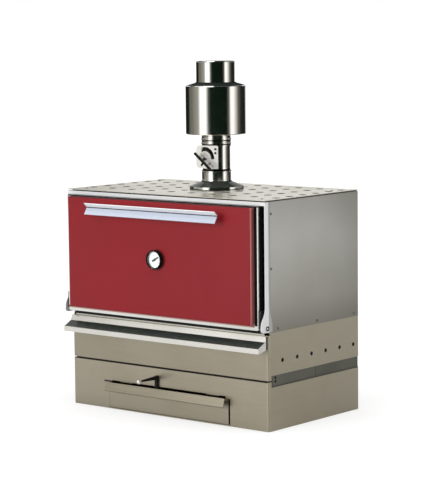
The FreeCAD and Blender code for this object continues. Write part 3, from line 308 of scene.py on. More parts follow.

# the three tones are for the sheet, its clouds and its streaks, on the screen's scale; a box has its low and
# high corner, and a fade of painted shade its axis, where it starts and ends, the share at either end and its
# tone
steelLooks = {
    "casingSteel": casingLook,
    "ventedSteel": {
        **casingLook,
        "shadeFades": [(1, (-0.2579, -0.2560, 0.2, 0.0), (128, 121, 104))],  # painted shade on the front face
        "black": [((-0.4485, -0.19, 0.231), (0.4485, 0.236, 0.243))],  # painted shade on the walls of the air holes
        # painted shade round the air holes
        "vents": {"across": (1, 2), "start": (-0.182, 0.237), "step": (0.082, 1.0), "rows": (-0.19, 0.236),
                  "shadeSpan": (0.0066, 0.0078)}},
    "rearSteel": {
        **casingLook,
        "seams": (0.153,), "seamHalf": 0.0008, "seamTone": (40, 38, 34)},  # joint of the two panels
    "baseSteel": {
        **casingLook,
        "black": [((-0.300, None, 0.0955), (-0.258, -0.2575, 0.1015))],  # painted shade that carries the slot on to its closed end
        "patches": [((0.4495, -0.243, 0.1502), anywhere, (78, 76, 68)),
                    ((None, -0.243, 0.1502), (-0.4495, None, None), (78, 76, 68)),  # shade under the band
                    ((None, None, 0.1672), (None, -0.2572, None), (44, 40, 31)),  # painted shade along the front joint
                    ((0.2785, None, 0.004), (0.2812, -0.2572, 0.095), (20, 18, 14))]},  # painted shade beside the drawer's gap
    "skinSteel": {
        "tones": ((190, 189, 183), (174, 172, 163), (202, 201, 196)),
        "streak": 0.35, "cloud": 2.4, "rough": (0.30, 0.40), "bump": 0.10,
        # painted shade, darker towards the bottom and towards the rear
        "shadeFades": [(2, (0.34, 0.64, 0.6, 0.0), (130, 127, 115)),
                  (2, (0.336, 0.43, 0.3, 0.0), (98, 94, 82)),
                  (1, (0.0, 0.258, 0.0, 0.3), (118, 115, 104))],
        "patches": [(anywhere, (None, -0.2462, None), (150, 150, 147))]},  # shade beside the post
    "coverSteel": {
        "tones": ((215, 211, 199), (203, 197, 181), (225, 223, 215)),
        "streak": 0.2, "lines": deepLines, "cloud": 4.0, "rough": (0.24, 0.32), "bump": 0.025,
        # painted shade round the vents
        "vents": {"across": (0, 1), "start": (-0.4176, -0.170), "step": (0.0928, 0.0744),
                  "rows": (-0.19, 0.22), "flue": (0.0, 0.025), "clear": 0.126, "shadeSpan": (0.0136, 0.0150)},
        "black": [((-0.44, -0.25, None), (0.44, 0.25, 0.78395))], "blackShine": 0.0},  # painted shade on the walls of the vents
    "brightSteel": {
        "tones": ((236, 235, 232), (224, 223, 219), (245, 245, 243)),
        "streak": 0.25, "lines": uprightLines, "rough": (0.14, 0.20), "bump": 0.04},
    "whiteSteel": {
        "tones": ((251, 251, 252), (244, 245, 246), (254, 254, 254)),
        "lines": uprightLines, "rough": (0.24, 0.32), "bump": 0.03, "metallic": 0.15,
        "patches": [((0.449, -0.2555, None), anywhere, (186, 186, 185))]},  # shade behind the post
    "handleSteel": {
        "tones": ((252, 253, 254), (246, 247, 250), (254, 254, 254)),
        "cloud": 6.0, "rough": (0.22, 0.30), "bump": 0.02, "metallic": 0.15,
        "shadeFades": [(2, (0.7285, 0.7300, 0.9, 0.0), (206, 216, 234))],  # painted shade on the lower half
        "seams": (0.7296,), "seamHalf": 0.0016, "seamTone": (52, 60, 70)},  # shaded fold
    "panSteel": {
        "tones": ((228, 228, 224), (216, 216, 211), (238, 238, 235)),
        "streak": 0.25, "rough": (0.10, 0.16), "bump": 0.03,
        "patches": [((None, -0.2925, 0.3608), (0.4183, None, 0.3660), (128, 72, 68)),  # painted reflection of the red panel
                    ((None, -0.2925, 0.3572), (0.4183, None, 0.3608), (182, 148, 140))],  # painted reflection of its paler edge
        "black": [((0.4333, -0.2850, None), anywhere), ((None, -0.2850, None), (-0.4333, None, None)),
                  ((0.4183, None, 0.3630), (0.4305, None, None)), ((None, None, 0.7615), anywhere)],
        "blackShine": 0.1},  # shaded sides and top
    "pipeSteel": {
        **pipeLook,
        "seams": (0.8505, 0.9425, 0.9565, 0.977), "seamHalf": 0.0018, "seamTone": sootAndShade},
    "damperSteel": {
        **pipeLook,
        "black": [((-0.06, None, 0.856), (0.034, -0.0104, 0.934))],  # painted shade behind the slot
        "seams": (0.8525,), "seamHalf": 0.0026, "seamTone": sootAndShade},
    "drumSteel": {
        **pipeLook,
        "black": [((None, None, 1.1513), anywhere)],  # painted dark reflection on the cone
        "blackTone": (32, 36, 33), "blackShine": 0.0, "blackWear": 0.03},
    "collarSteel": {
        **pipeLook,
        "patches": [(anywhere, (None, None, 0.7942), (222, 224, 221)),  # rim, with painted dark reflection in places and painted shade along its foot
                    ((0.040, None, None), (None, -0.012, 0.7942), (66, 74, 69)),
                    (anywhere, (-0.0316, None, 0.7942), (70, 74, 70)),
                    ((None, 0.0494, None), (None, None, 0.7942), (70, 74, 70)),
                    # painted shade along the foot of the rim
                    (anywhere, (None, None, 0.7866), (34, 37, 34))],
        "black": [((None, None, 0.7942), anywhere)],  # painted dark reflection on the cone
        "blackTone": (47, 52, 48), "blackShine": 0.05, "blackWear": 0.04},
    "pinSteel": {
        "tones": ((244, 244, 242), (232, 232, 229), (250, 250, 249)),
        "streak": 0.2, "lines": deepLines, "cloud": 60.0, "rough": (0.20, 0.28), "bump": 0.02,
        "metallic": 0.4,
        # painted shade: a dark ring round the middle of each pin head
        "ring": {"across": (1, 2), "centre": (-0.266, 0.354), "near": 0.0036, "far": 0.0088, "tone": sootAndShade}},
    "plateSteel": {
        "tones": ((240, 238, 232), (228, 226, 219), (247, 246, 243)),
        "cloud": 8.0, "rough": (0.32, 0.42), "bump": 0.05,
        "black": [(anywhere, (None, -0.0402, None))],  # bolt heads
        "ring": {"across": (0, 2), "centre": (0.0, 0.893), "near": 0.0275, "far": 0.0425,
                 "tone": (62, 64, 60), "part": ((-0.016, None, 0.893), anywhere)}},  # painted shade along the slot
    "bandSteel": {
        "tones": ((106, 106, 98), (94, 95, 86), (118, 118, 110)),
        "rough": (0.42, 0.54), "bump": 0.08,
        "black": [(anywhere, (None, -0.235, None))]},  # painted shade on the cross rail behind the front gap
    "ledgeSteel": {
        "tones": ((232, 230, 223), (220, 218, 209), (242, 241, 236)),
        "rough": (0.22, 0.30), "bump": 0.03,
        "black": [((-0.4438, -0.3072, None), (0.4438, -0.2745, None)),  # painted dark reflection on the drip slope
                  ((0.4440, -0.2672, None), anywhere)],  # painted shade in the gap behind its end
        "blackTone": (50, 57, 53)},
    "frameSteel": {
        "tones": ((196, 194, 186), (184, 182, 173), (208, 206, 199)),
        "rough": (0.34, 0.44), "bump": 0.04,
        # painted shade on the frame above the foot of its sill
        "black": [((None, None, 0.3322), anywhere)], "blackTone": (14, 14, 14), "blackShine": 0.15},
    "screwSteel": {
        "tones": ((128, 126, 119), (108, 106, 99), (150, 148, 142)),
        "cloud": 90.0, "rough": (0.26, 0.38), "bump": 0.03,
        "patches": [((None, None, 0.150), (None, None, 0.192), (40, 40, 37))]},  # screws of the band
    "ballSteel": {
        "tones": ((240, 240, 238), (228, 228, 225), (248, 248, 247)),
        "streak": 0.2, "lines": deepLines, "cloud": 80.0, "rough": (0.10, 0.16), "bump": 0.02},
}
materials = {name: brushedMetal(name, look) for name, look in steelLooks.items()}


# chamber steel: brushed sheet that heat has tinted straw and blue in drifting patches, with smoke over it
heatLook = {"steel": rgb(150, 144, 134), "straw": rgb(132, 108, 74), "blue": rgb(78, 84, 104),
            "sootAndShade": rgb(40, 37, 34), "drift": (3.2, 5.0), "smokeAndShade": (9.0, 6.0), "lines": (6.0, 6.0, 900.0),
            "strawSpan": (0.40, 0.55, 0.0, 0.8), "blueSpan": (0.55, 0.68, 0.0, 0.7),
            "sootSpan": (0.45, 0.75, 0.05, 0.75), "rough": (0.3, 0.7, 0.34, 0.66), "lineRough": 0.06,
            "bump": 0.08, "depth": 0.4 * mm}


def heatedSteel(name, look):
    material, tree, shader, place = startMaterial(name)
    drift = noise(tree, place, *look["drift"])
    fine = noise(tree, place, 1.0, brushing["lineDetail"], look["lines"], brushing["lineRoughness"])
    warm = mixColour(tree, remap(tree, drift, *look["strawSpan"]), look["steel"], look["straw"])
    tinted = mixColour(tree, remap(tree, drift, *look["blueSpan"]), warm, look["blue"])
    smokeAndShade = noise(tree, place, *look["smokeAndShade"])
    paint = mixColour(tree, remap(tree, smokeAndShade, *look["sootSpan"]), tinted, look["sootAndShade"])
    rough = maths(tree, "ADD", remap(tree, smokeAndShade, *look["rough"]),
                  times(tree, fine, look["lineRough"]))
    normal = bumpFrom(tree, fine, look["bump"], look["depth"])
    fill(tree, shader, {"Base Color": paint, "Roughness": rough, "Normal": normal, "Metallic": 1.0})
    return material


materials["linerSteel"] = heatedSteel("linerSteel", heatLook)


# enamel: even colour with a slow drift in tone, orange-peel skin and a soft clear top; painted shade beside
# the thermometer and on the rounded side edges, a painted highlight going over to painted shade across the
# sides, and painted shade along the top
enamelLook = {"colour": rgb(150, 22, 32), "deep": rgb(141, 27, 35), "speckTone": rgb(184, 88, 92),
              "fold": rgb(112, 22, 27), "pale": rgb(245, 140, 139), "brown": rgb(132, 72, 69),
              "sootAndShade": rgb(40, 12, 11), "drift": (2.2, 2.0), "peel": (260.0, 2.0), "speck": (900.0, 1.0),
              "driftSpan": (0.35, 0.65, 0.0, 1.0), "speckSpan": (0.62, 0.8, 0.0, 0.12),
              "dial": (0.005, 0.560), "shadeReach": (0.0325, 0.0390, 0.85, 0.0),
              "edgeX": (0.4112, 0.4128, 0.0, 0.9), "foldY": (-0.3098, -0.3086, 0.0, 1.0),
              "sideY": (-0.3075, -0.2930, 0.0, 1.0), "topZ": (0.7590, 0.7606, 0.0, 0.9),
              "rough": (0.3, 0.7, 0.36, 0.46), "bump": 0.06, "depth": 0.6 * mm, "coat": 0.1,
              "coatRough": 0.18, "shine": 0.22}


def enamel(name, look):
    material, tree, shader, place = startMaterial(name)
    axes = axesOf(tree, place)
    drift = noise(tree, place, *look["drift"])
    peel = noise(tree, place, *look["peel"])
    speck = noise(tree, place, *look["speck"])
    tone = mixColour(tree, remap(tree, drift, *look["driftSpan"]), look["colour"], look["deep"])
    tone = mixColour(tree, remap(tree, speck, *look["speckSpan"]), tone, look["speckTone"])
    # painted shade round the thermometer
    shaded = remap(tree, distanceFrom(tree, place, (0, 2), look["dial"]), *look["shadeReach"])
    tone = mixColour(tree, shaded, tone, look["sootAndShade"])
    # rounded side edges: painted shade at their front, then a painted highlight going over to painted shade
    # across the sides
    side = mixColour(tree, remap(tree, axes[1], *look["sideY"]), look["pale"], look["brown"])
    rim = mixColour(tree, remap(tree, axes[1], *look["foldY"]), look["fold"], side)
    tone = mixColour(tree, remap(tree, maths(tree, "ABSOLUTE", axes[0]), *look["edgeX"]), tone, rim)
    # painted shade along the top
    tone = mixColour(tree, remap(tree, axes[2], *look["topZ"]), tone, look["sootAndShade"])
    fill(tree, shader, {"Base Color": tone, "Roughness": remap(tree, peel, *look["rough"]),
                        "Normal": bumpFrom(tree, peel, look["bump"], look["depth"]),
                        "Coat Weight": look["coat"], "Coat Roughness": look["coatRough"],
                        "Specular IOR Level": look["shine"]})
    return material


materials["redEnamel"] = enamel("redEnamel", enamelLook)


# moulded or painted black: fine grain that breaks the gloss, paler where hands rub
coating = {"grainDetail": 3.0, "rub": (60.0, 4.0), "rubSpan": (0.5, 0.75, 0.0, 1.0), "grainSpan": (0.3, 0.7),
           "depth": 0.3 * mm}
blackLooks = {
    "blackSteel": {"colour": rgb(26, 26, 26), "worn": rgb(40, 40, 39), "grain": 700.0,
                   "rough": (0.28, 0.42), "bump": 0.12, "shine": 0.5},
    "bezelBlack": {"colour": rgb(14, 14, 14), "worn": rgb(24, 24, 24), "grain": 700.0,
                   "rough": (0.30, 0.44), "bump": 0.10, "shine": 0.2},
    "gripBlack": {"colour": rgb(13, 13, 13), "worn": rgb(24, 24, 24), "grain": 1100.0,
                  "rough": (0.42, 0.58), "bump": 0.25, "shine": 0.2},
    "pointerBlack": {"colour": rgb(12, 12, 12), "worn": rgb(20, 20, 20), "grain": 1500.0,
                     "rough": (0.40, 0.50), "bump": 0.05, "shine": 0.2},
}


def blackCoat(name, look):
    material, tree, shader, place = startMaterial(name)
    grain = noise(tree, place, look["grain"], coating["grainDetail"])
    rub = noise(tree, place, *coating["rub"])
    paint = mixColour(tree, remap(tree, rub, *coating["rubSpan"]), look["colour"], look["worn"])
    rough = remap(tree, grain, *coating["grainSpan"], *look["rough"])
    normal = bumpFrom(tree, grain, look["bump"], coating["depth"])
    fill(tree, shader, {"Base Color": paint, "Roughness": rough, "Normal": normal, "Metallic": 0.0,
                        "Specular IOR Level": look["shine"]})
    return material


for name, look in blackLooks.items():
    materials[name] = blackCoat(name, look)


# cast iron: pitted sand skin, brown bloom and pale ash lying on faces that look up
ironLook = {"iron": rgb(58, 57, 56), "bloom": rgb(82, 62, 50), "ash": rgb(150, 147, 142),
            "skin": (420.0, 5.0, (1, 1, 1), 0.65), "patch": (22.0, 5.0), "dust": (14.0, 6.0),
            "bloomSpan": (0.48, 0.7, 0.0, 0.7), "facingSpan": (0.6, 0.95, 0.0, 1.0),
            "dustSpan": (0.45, 0.7, 0.0, 0.75), "rough": (0.3, 0.7, 0.55, 0.8), "bump": 0.5,
            "depth": 0.8 * mm, "metallic": 0.35}


def castIron(name, look):
    material, tree, shader, place = startMaterial(name)
    skin = noise(tree, place, *look["skin"])
    patch = noise(tree, place, *look["patch"])
    base = mixColour(tree, remap(tree, patch, *look["bloomSpan"]), look["iron"], look["bloom"])
    facing = axesOf(tree, tree.nodes.new("ShaderNodeNewGeometry").outputs["Normal"])[2]
    dusty = remap(tree, noise(tree, place, *look["dust"]), *look["dustSpan"])
    dust = times(tree, remap(tree, facing, *look["facingSpan"]), dusty)
    fill(tree, shader, {"Base Color": mixColour(tree, dust, base, look["ash"]),
                        "Roughness": remap(tree, skin, *look["rough"]),
                        "Normal": bumpFrom(tree, skin, look["bump"], look["depth"]),
                        "Metallic": look["metallic"]})
    return material


materials["castPlate"] = castIron("castPlate", ironLook)


# fibre blanket: matted felt, short strands in two directions, the larger of the two showing
fibre = {"detail": 3.0, "strandA": (60.0, 900.0, 900.0), "strandB": (900.0, 70.0, 500.0),
         "span": (0.45, 0.75, 0.0, 1.0), "bump": 0.7, "depth": 1.0 * mm, "rough": 0.95, "shine": 0.1,
         "sheen": 0.2}


def fibreBlanket(name, colour, pale):
    material, tree, shader, place = startMaterial(name)
    strandA = noise(tree, place, 1.0, fibre["detail"], fibre["strandA"])
    strandB = noise(tree, place, 1.0, fibre["detail"], fibre["strandB"])
    felt = maths(tree, "MAXIMUM", strandA, strandB)
    fill(tree, shader, {"Base Color": mixColour(tree, remap(tree, felt, *fibre["span"]), colour, pale),
                        "Normal": bumpFrom(tree, felt, fibre["bump"], fibre["depth"]),
                        "Roughness": fibre["rough"], "Specular IOR Level": fibre["shine"],
                        "Sheen Weight": fibre["sheen"]})
    return material


materials["feltDark"] = fibreBlanket("feltDark", rgb(24, 23, 22), rgb(46, 45, 43))
materials["ropeFibre"] = fibreBlanket("ropeFibre", rgb(118, 112, 100), rgb(168, 162, 148))


# dial: off-white enamel, a ring of long and short ticks over 270 degrees and a warm arc at the hot end,
# all measured by radius and angle about the dial's centre; ticks give how many stand in half a turn,
# their half width as a share of a step, and the radii they run between
dialLook = {"centre": middleOf("thermometer_case")[2], "white": rgb(252, 252, 249),
            "cream": rgb(205, 203, 196), "ink": rgb(24, 24, 26), "hot": rgb(176, 42, 38), "sweep": 0.755,
            "hotFrom": 0.42, "longTicks": (12.0, 0.045, 20.5 * mm, 26.2 * mm),
            "shortTicks": (60.0, 0.14, 23.6 * mm, 26.2 * mm), "line": (25.9 * mm, 26.5 * mm),
            "arc": (18.0 * mm, 19.4 * mm), "paper": (300.0, 3.0), "paperSpan": (0.4, 0.7, 0.0, 0.06),
            "rough": 0.5, "shine": 0.3}


def dialFace(name, look):
    material, tree, shader, place = startMaterial(name)
    flat = axesOf(tree, mapped(tree, place, shift=(0, 0, -look["centre"])))
    x, z = flat[0], flat[2]
    square = maths(tree, "ADD", times(tree, x, x), times(tree, z, z))
    radius = maths(tree, "SQRT", square)
    turn = maths(tree, "DIVIDE", maths(tree, "ARCTAN2", x, z), math.pi)  # 0 at the top, 1 at the bottom
    inSweep = maths(tree, "LESS_THAN", maths(tree, "ABSOLUTE", turn), look["sweep"])

    def ringOf(low, high):
        return times(tree, between(tree, radius, low, high), inSweep)

    def ticks(perHalf, halfWidth, low, high):
        step = maths(tree, "FRACT", maths(tree, "ADD", times(tree, turn, perHalf), 0.5))
        away = maths(tree, "ABSOLUTE", maths(tree, "SUBTRACT", step, 0.5))
        return times(tree, maths(tree, "LESS_THAN", away, halfWidth), ringOf(low, high))

    marks = maths(tree, "MAXIMUM", ticks(*look["longTicks"]), ticks(*look["shortTicks"]))
    marks = maths(tree, "MAXIMUM", marks, ringOf(*look["line"]))
    arc = times(tree, ringOf(*look["arc"]), maths(tree, "GREATER_THAN", turn, look["hotFrom"]))
    speck = remap(tree, noise(tree, place, *look["paper"]), *look["paperSpan"])
    paper = mixColour(tree, speck, look["white"], look["cream"])
    warm = mixColour(tree, arc, paper, look["hot"])
    fill(tree, shader, {"Base Color": mixColour(tree, marks, warm, look["ink"]), "Roughness": look["rough"],
                        "Specular IOR Level": look["shine"]})
    return material


materials["dialWhite"] = dialFace("dialWhite", dialLook)

# glass: clear, with a faint haze in its gloss
glassLook = {"tint": (0.97, 0.99, 0.99, 1.0), "haze": (120.0, 4.0), "hazeSpan": (0.4, 0.75, 0.0, 0.06),
             "ior": 1.45}


def clearGlass(name, look):
    material, tree, shader, place = startMaterial(name)
    haze = noise(tree, place, *look["haze"])
    fill(tree, shader, {"Roughness": remap(tree, haze, *look["hazeSpan"]), "Base Color": look["tint"],
                        "Transmission Weight": 1.0, "IOR": look["ior"]})
    return material


materials["dialGlass"] = clearGlass("dialGlass", glassLook)
print("materials made")


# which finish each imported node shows
finishes = {
    "ventedSteel": ["lower_casing"],
    "casingSteel": ["base_floor", "base_deck", "drawer_runners", "drawer_front", "drawer_tray",
                    "drawer_pull", "air_grid", "air_shutter", "ash_chute"],
    "skinSteel": ["side_skin_right", "side_skin_left"],
    "coverSteel": ["top_cover"],
    "brightSteel": ["damper_lever"],
    "pinSteel": ["hinge_pins"],
    "ballSteel": ["air_knob"],
    "screwSteel": ["casing_screws"],
    "whiteSteel": ["side_post_right", "side_post_left", "top_rail"],
    "plateSteel": ["damper_plate"],
    "handleSteel": ["door_handle", "handle_standoffs"],
    "panSteel": ["door_pan"],
    "pipeSteel": ["flue_spigot", "lower_sleeve", "upper_coupler", "outlet_pipe", "damper_shaft"],
    "drumSteel": ["firebreak_drum"],
    "damperSteel": ["damper_pipe"],
    "collarSteel": ["flue_collar"],
    "bandSteel": ["joining_rails"],
    "ledgeSteel": ["drip_ledge"],
    "frameSteel": ["front_frame"],
    "baseSteel": ["base_cabinet"],
    "rearSteel": ["rear_panels"],
    "linerSteel": ["liner_floor", "liner_walls", "liner_roof", "door_liner", "rack_guides", "cooking_racks",
                   "spark_baffle", "damper_blade", "thermometer_stem"],
    "redEnamel": ["door_panel"],
    "blackSteel": ["thermometer_case", "top_frame", "hinge_ears"],
    "bezelBlack": ["air_lever"],
    "gripBlack": ["damper_grip"],
    "pointerBlack": ["thermometer_pointer"],
    "castPlate": ["firebox_plates", "fire_grate"],
    "feltDark": ["insulation", "door_insulation"],
    "ropeFibre": ["door_seal"],
    "dialWhite": ["thermometer_dial"],
    "dialGlass": ["thermometer_glass"],
}
for name, members in finishes.items():
    for member in members:
        for slot in nodes[member].material_slots:
            slot.material = materials[name]
nodes["thermometer_glass"].visible_shadow = False  # light reaches the dial
print("nodes dressed")


# middle of every group of points of a node that lie closer together than reach
def islandCentres(node, reach):
    points = np.empty(len(node.data.vertices) * 3)
    node.data.vertices.foreach_get("co", points)
    turn = np.array(node.matrix_world)
    points = points.reshape(-1, 3) @ turn[:3, :3].T + turn[:3, 3]
    centres = []
    while len(points):
        near = np.linalg.norm(points - points[0], axis=1) < reach
        centres.append((points[near].min(axis=0) + points[near].max(axis=0)) / 2.0)
        points = points[~near]
    return np.array(centres)


# screw heads: radius by angle; the height is a shallow dome, less a cross sunk where the distance
# to the nearer of its two bars is below zero, and the last two rows close the back
screwShape = {"radius": 4.5 * mm, "height": 2.0 * mm, "sink": 1.1 * mm, "arm": 2.8 * mm,
              "halfWidth": 0.6 * mm, "wall": 0.3 * mm, "dome": 0.5, "spin": 2.4, "reach": 12.0 * mm,
              "coverHalf": 420.0 * mm, "rings": 14, "around": 48}


def screwHeads(shape):
    centres = islandCentres(nodes["casing_screws"], shape["reach"])
    onCover = np.abs(centres[:, 0]) < shape["coverHalf"]
    outward = np.where(onCover[:, None], [0.0, 0.0, 1.0], np.sign(centres[:, :1]) * [1.0, 0.0, 0.0])
    along = np.tile([0.0, 1.0, 0.0], (len(centres), 1))
    across = np.cross(outward, along)
    share = np.linspace(0.0, 1.0, shape["rings"])[:, None]
    angle = roundTurn(shape["around"])[None, :]
    wide = shape["radius"] * share * np.cos(angle)
    deep = shape["radius"] * share * np.sin(angle)
    bars = [np.maximum(np.abs(wide) - shape["halfWidth"], np.abs(deep) - shape["arm"]),
            np.maximum(np.abs(deep) - shape["halfWidth"], np.abs(wide) - shape["arm"])]
    sunk = np.clip(0.5 - np.minimum(*bars) / shape["wall"], 0.0, 1.0)
    rise = shape["height"] * (1.0 - shape["dome"] * share ** 2) - shape["sink"] * sunk
    wide = np.concatenate([wide, wide[-1:], 0.0 * wide[:1]])
    deep = np.concatenate([deep, deep[-1:], 0.0 * deep[:1]])
    rise = np.concatenate([rise, 0.0 * rise[:2]])
    spin = (shape["spin"] * np.arange(len(centres)))[:, None, None]  # each cross stands at its own angle
    local = np.stack([wide * np.cos(spin) - deep * np.sin(spin), wide * np.sin(spin) + deep * np.cos(spin),
                      rise - shape["height"] / 2.0 + 0.0 * spin], axis=-1)
    axes = np.broadcast_to(np.stack([across, along, outward], axis=1)[:, None, None], (*local.shape, 3))
    grid = centres[:, None, None] + np.einsum("nuvk,nuvkc->nuvc", local, axes)
    return gridPiece("screwHeads", grid, wrapV=True, crease=edgeAngle)


finishPiece(screwHeads(screwShape), materials["screwSteel"], "oven", ["casing_screws"])

# hinge pins: outline of radius and distance along the axis, turned about it on both sides
pinShape = {"segments": 48, "outline": [
    (0, 434.3), (5, 434.3), (5, 440.3), (9, 440.3), (9, 447), (5, 447), (5, 450), (10.5, 450), (10.5, 451.6),
    (10.0, 452.5), (8.8, 453.0), (6.4, 453.0), (5.6, 452.2), (4.6, 452.2), (3.8, 453.0), (2.2, 453.4),
    (0, 453.5)]}


def hingePins(shape):
    outline = np.array(shape["outline"]) * mm
    centre = middleOf("hinge_pins")
    sides = [turnedGrid(outline, centre, (side, 0.0, 0.0), shape["segments"]) for side in (1.0, -1.0)]
    return gridPiece("hingePinsTurned", np.stack(sides), wrapU=True, crease=edgeAngle)


finishPiece(hingePins(pinShape), materials["pinSteel"], "oven", ["hinge_pins"])

# lip under the top rail: the section of a flat bar carried along the rail, drawn to its middle at both ends
lipShape = {"thick": 1.5 * mm, "drop": 2.4 * mm}


def railLip(shape):
    low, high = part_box("top_rail")
    along = np.array([low[0], low[0], high[0], high[0]])[:, None]
    share = np.array([0.0, 1.0, 1.0, 0.0])[:, None]
    across = np.array([[-0.5, -0.5, 0.5, 0.5]])
    upward = np.array([[-0.5, 0.5, 0.5, -0.5]])
    x = along + 0.0 * across
    y = low[1] + (0.5 + share * across) * shape["thick"]
    z = low[2] + (share * upward - 0.5) * shape["drop"]
    return gridPiece("railLip", np.stack([x, y, z], axis=-1), wrapV=True, smooth=False)


finishPiece(railLip(lipShape), materials["whiteSteel"], "oven")

# thermometer case: outline of radius and height above the panel, turned about the dial's axis
caseShape = {"segments": 96, "outline": [
    (0, 1.0), (1.25, 1.0), (1.25, 3.0), (28.5, 3.0), (28.5, 11.0), (30.5, 11.0), (30.5, 14.8), (30.8, 15.6),
    (31.4, 16.0), (32.0, 15.9), (32.6, 15.5), (32.9, 14.9), (33.0, 14.0), (33.0, 5.0), (32.2, 4.4),
    (32.2, 3.6), (33.0, 3.0), (33.0, 0.6), (32.4, 0.0), (0, 0.0)]}


def thermometerCase(shape):
    outline = np.array(shape["outline"]) * mm
    centre = middleOf("thermometer_case")
    centre[1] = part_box("thermometer_case")[1][1]  # its back, on the panel
    grid = turnedGrid(outline, centre, (0.0, -1.0, 0.0), shape["segments"])
    return gridPiece("thermometerBezel", grid, wrapU=True, crease=edgeAngle)


finishPiece(thermometerCase(caseShape), materials["bezelBlack"], "door", ["thermometer_case"])

# pointer blade: a low ridge carried along the needle; its half width tapers from tail to tip and swells
# to a circle at the hub, and it shrinks to a point at both ends
bladeShape = {"angle": 60.0, "tail": -13.0 * mm, "tip": 20.5 * mm, "wide": 3.3 * mm, "slim": 2.1 * mm,
              "hub": 4.8 * mm, "rise": 0.6 * mm, "sunk": 0.2 * mm, "shoulder": 0.5, "top": 0.6, "steps": 57,
              "crease": 30.0}


def pointerBlade(shape):
    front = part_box("thermometer_pointer")[0][1]
    along = np.linspace(shape["tail"], shape["tip"], shape["steps"])
    taper = np.interp(along, [shape["tail"], shape["tip"]], [shape["wide"], shape["slim"]])
    width = np.maximum(taper, np.sqrt(np.maximum(shape["hub"] ** 2 - along ** 2, 0.0)))
    width[[0, -1]] = 0.0
    foot, shoulder, top = -shape["sunk"], shape["shoulder"] * shape["rise"], shape["rise"]
    section = np.array([(-1.0, foot), (-1.0, shoulder), (-shape["top"], top), (shape["top"], top),
                        (1.0, shoulder), (1.0, foot)])
    across = width[:, None] * section[None, :, 0]
    ahead = along[:, None] + 0.0 * across
    turn = math.radians(shape["angle"])
    x = ahead * math.sin(turn) + across * math.cos(turn)
    z = dialLook["centre"] + ahead * math.cos(turn) - across * math.sin(turn)
    y = front - section[None, :, 1] + 0.0 * across
    y[[0, -1]] = front
    return gridPiece("pointerBlade", np.stack([x, y, z], axis=-1), wrapV=True, crease=shape["crease"])


finishPiece(pointerBlade(bladeShape), materials["pointerBlack"], "thermometer_hand")

# door rope: an oval carried round a rounded rectangle; its radius swells along two sets of strands
# that wind opposite ways, the larger of the two showing
ropeShape = {"inset": 5.0 * mm, "corner": 9.0 * mm, "cornerSteps": 8, "wide": 4.9 * mm, "deep": 3.8 * mm,
             "strands": 4, "pitch": 30.0 * mm, "swell": 0.16, "steps": 1400, "around": 20}


def doorRope(shape):
    low, high = (np.array(corner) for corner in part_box("door_seal"))
    low, high = low + shape["inset"], high - shape["inset"]
    corners = [(low[0], low[2]), (high[0], low[2]), (high[0], high[2]), (low[0], high[2])]
    turnAt = roundedOutline(corners, shape["corner"], shape["cornerSteps"])
    closed = np.concatenate([turnAt, turnAt[:1]])
    run = np.concatenate([[0.0], np.cumsum(np.linalg.norm(np.diff(closed, axis=0), axis=1))])
    at = np.linspace(0.0, run[-1], shape["steps"], endpoint=False)
    line = np.stack([np.interp(at, run, closed[:, 0]), np.interp(at, run, closed[:, 1])], axis=-1)
    ahead = np.roll(line, -1, axis=0) - np.roll(line, 1, axis=0)
    ahead /= np.linalg.norm(ahead, axis=1, keepdims=True)
    side = np.stack([ahead[:, 1], -ahead[:, 0]], axis=-1)[:, None]
    angle = roundTurn(shape["around"])[None, :]
    wind = fullTurn * np.round(run[-1] / shape["pitch"]) * (at / run[-1])[:, None]
    strand = np.maximum(np.cos(shape["strands"] * angle + wind), np.cos(shape["strands"] * angle - wind))
    size = 1.0 - shape["swell"] * (0.5 - 0.5 * strand)
    flat = line[:, None] + side * (shape["wide"] * size * np.cos(angle))[..., None]
    depth = middleOf("door_seal")[1] + shape["deep"] * size * np.sin(angle)
    grid = np.stack([flat[..., 0], depth, flat[..., 1]], axis=-1)
    return gridPiece("doorRope", grid, wrapU=True, wrapV=True)


finishPiece(doorRope(ropeShape), materials["ropeFibre"], "door", ["door_seal"])

# air ball: outline of a sphere that ends in a short ferrule on the rod, turned about the rod's axis
ballShape = {"centre": (-47.0 * mm, -355.0 * mm, 134.0 * mm), "radius": 8.5 * mm, "ferrule": 4.6 * mm,
             "back": 8.4 * mm, "steps": 28, "segments": 48}


def airBall(shape):
    last = math.pi - math.asin(shape["ferrule"] / shape["radius"])
    sweep = np.linspace(0.0, last, shape["steps"])
    sphere = shape["radius"] * np.stack([np.sin(sweep), np.cos(sweep)], axis=-1)
    tail = np.array([(shape["ferrule"], -shape["back"]), (0.0, -shape["back"])])
    outline = np.concatenate([sphere, tail])
    grid = turnedGrid(outline, shape["centre"], (0.0, -1.0, 0.0), shape["segments"])
    return gridPiece("airBall", grid, wrapU=True, crease=edgeAngle)


finishPiece(airBall(ballShape), materials["ballSteel"], "air_control", ["air_knob"])

# hexagon heads: level by angle; the radius is the flat's distance over the cosine of the angle from
# that flat's middle, drawn in at the chamfer and closed at both ends
hexProfile = {"inset": (0.0, 1.0, 1.0, 0.88, 0.0), "level": (0.0, 0.0, 0.8, 1.0, 1.0), "around": 60,
              "crease": 25.0}
boltShape = {"places": [(48.0, -38.9, 929.0), (48.0, -38.9, 915.0)], "flat": 3.75 * mm, "height": 3.4 * mm}
nutShape = {"places": [(0.0, -42.2, 893.0)], "flat": 5.7 * mm, "height": 4.4 * mm}


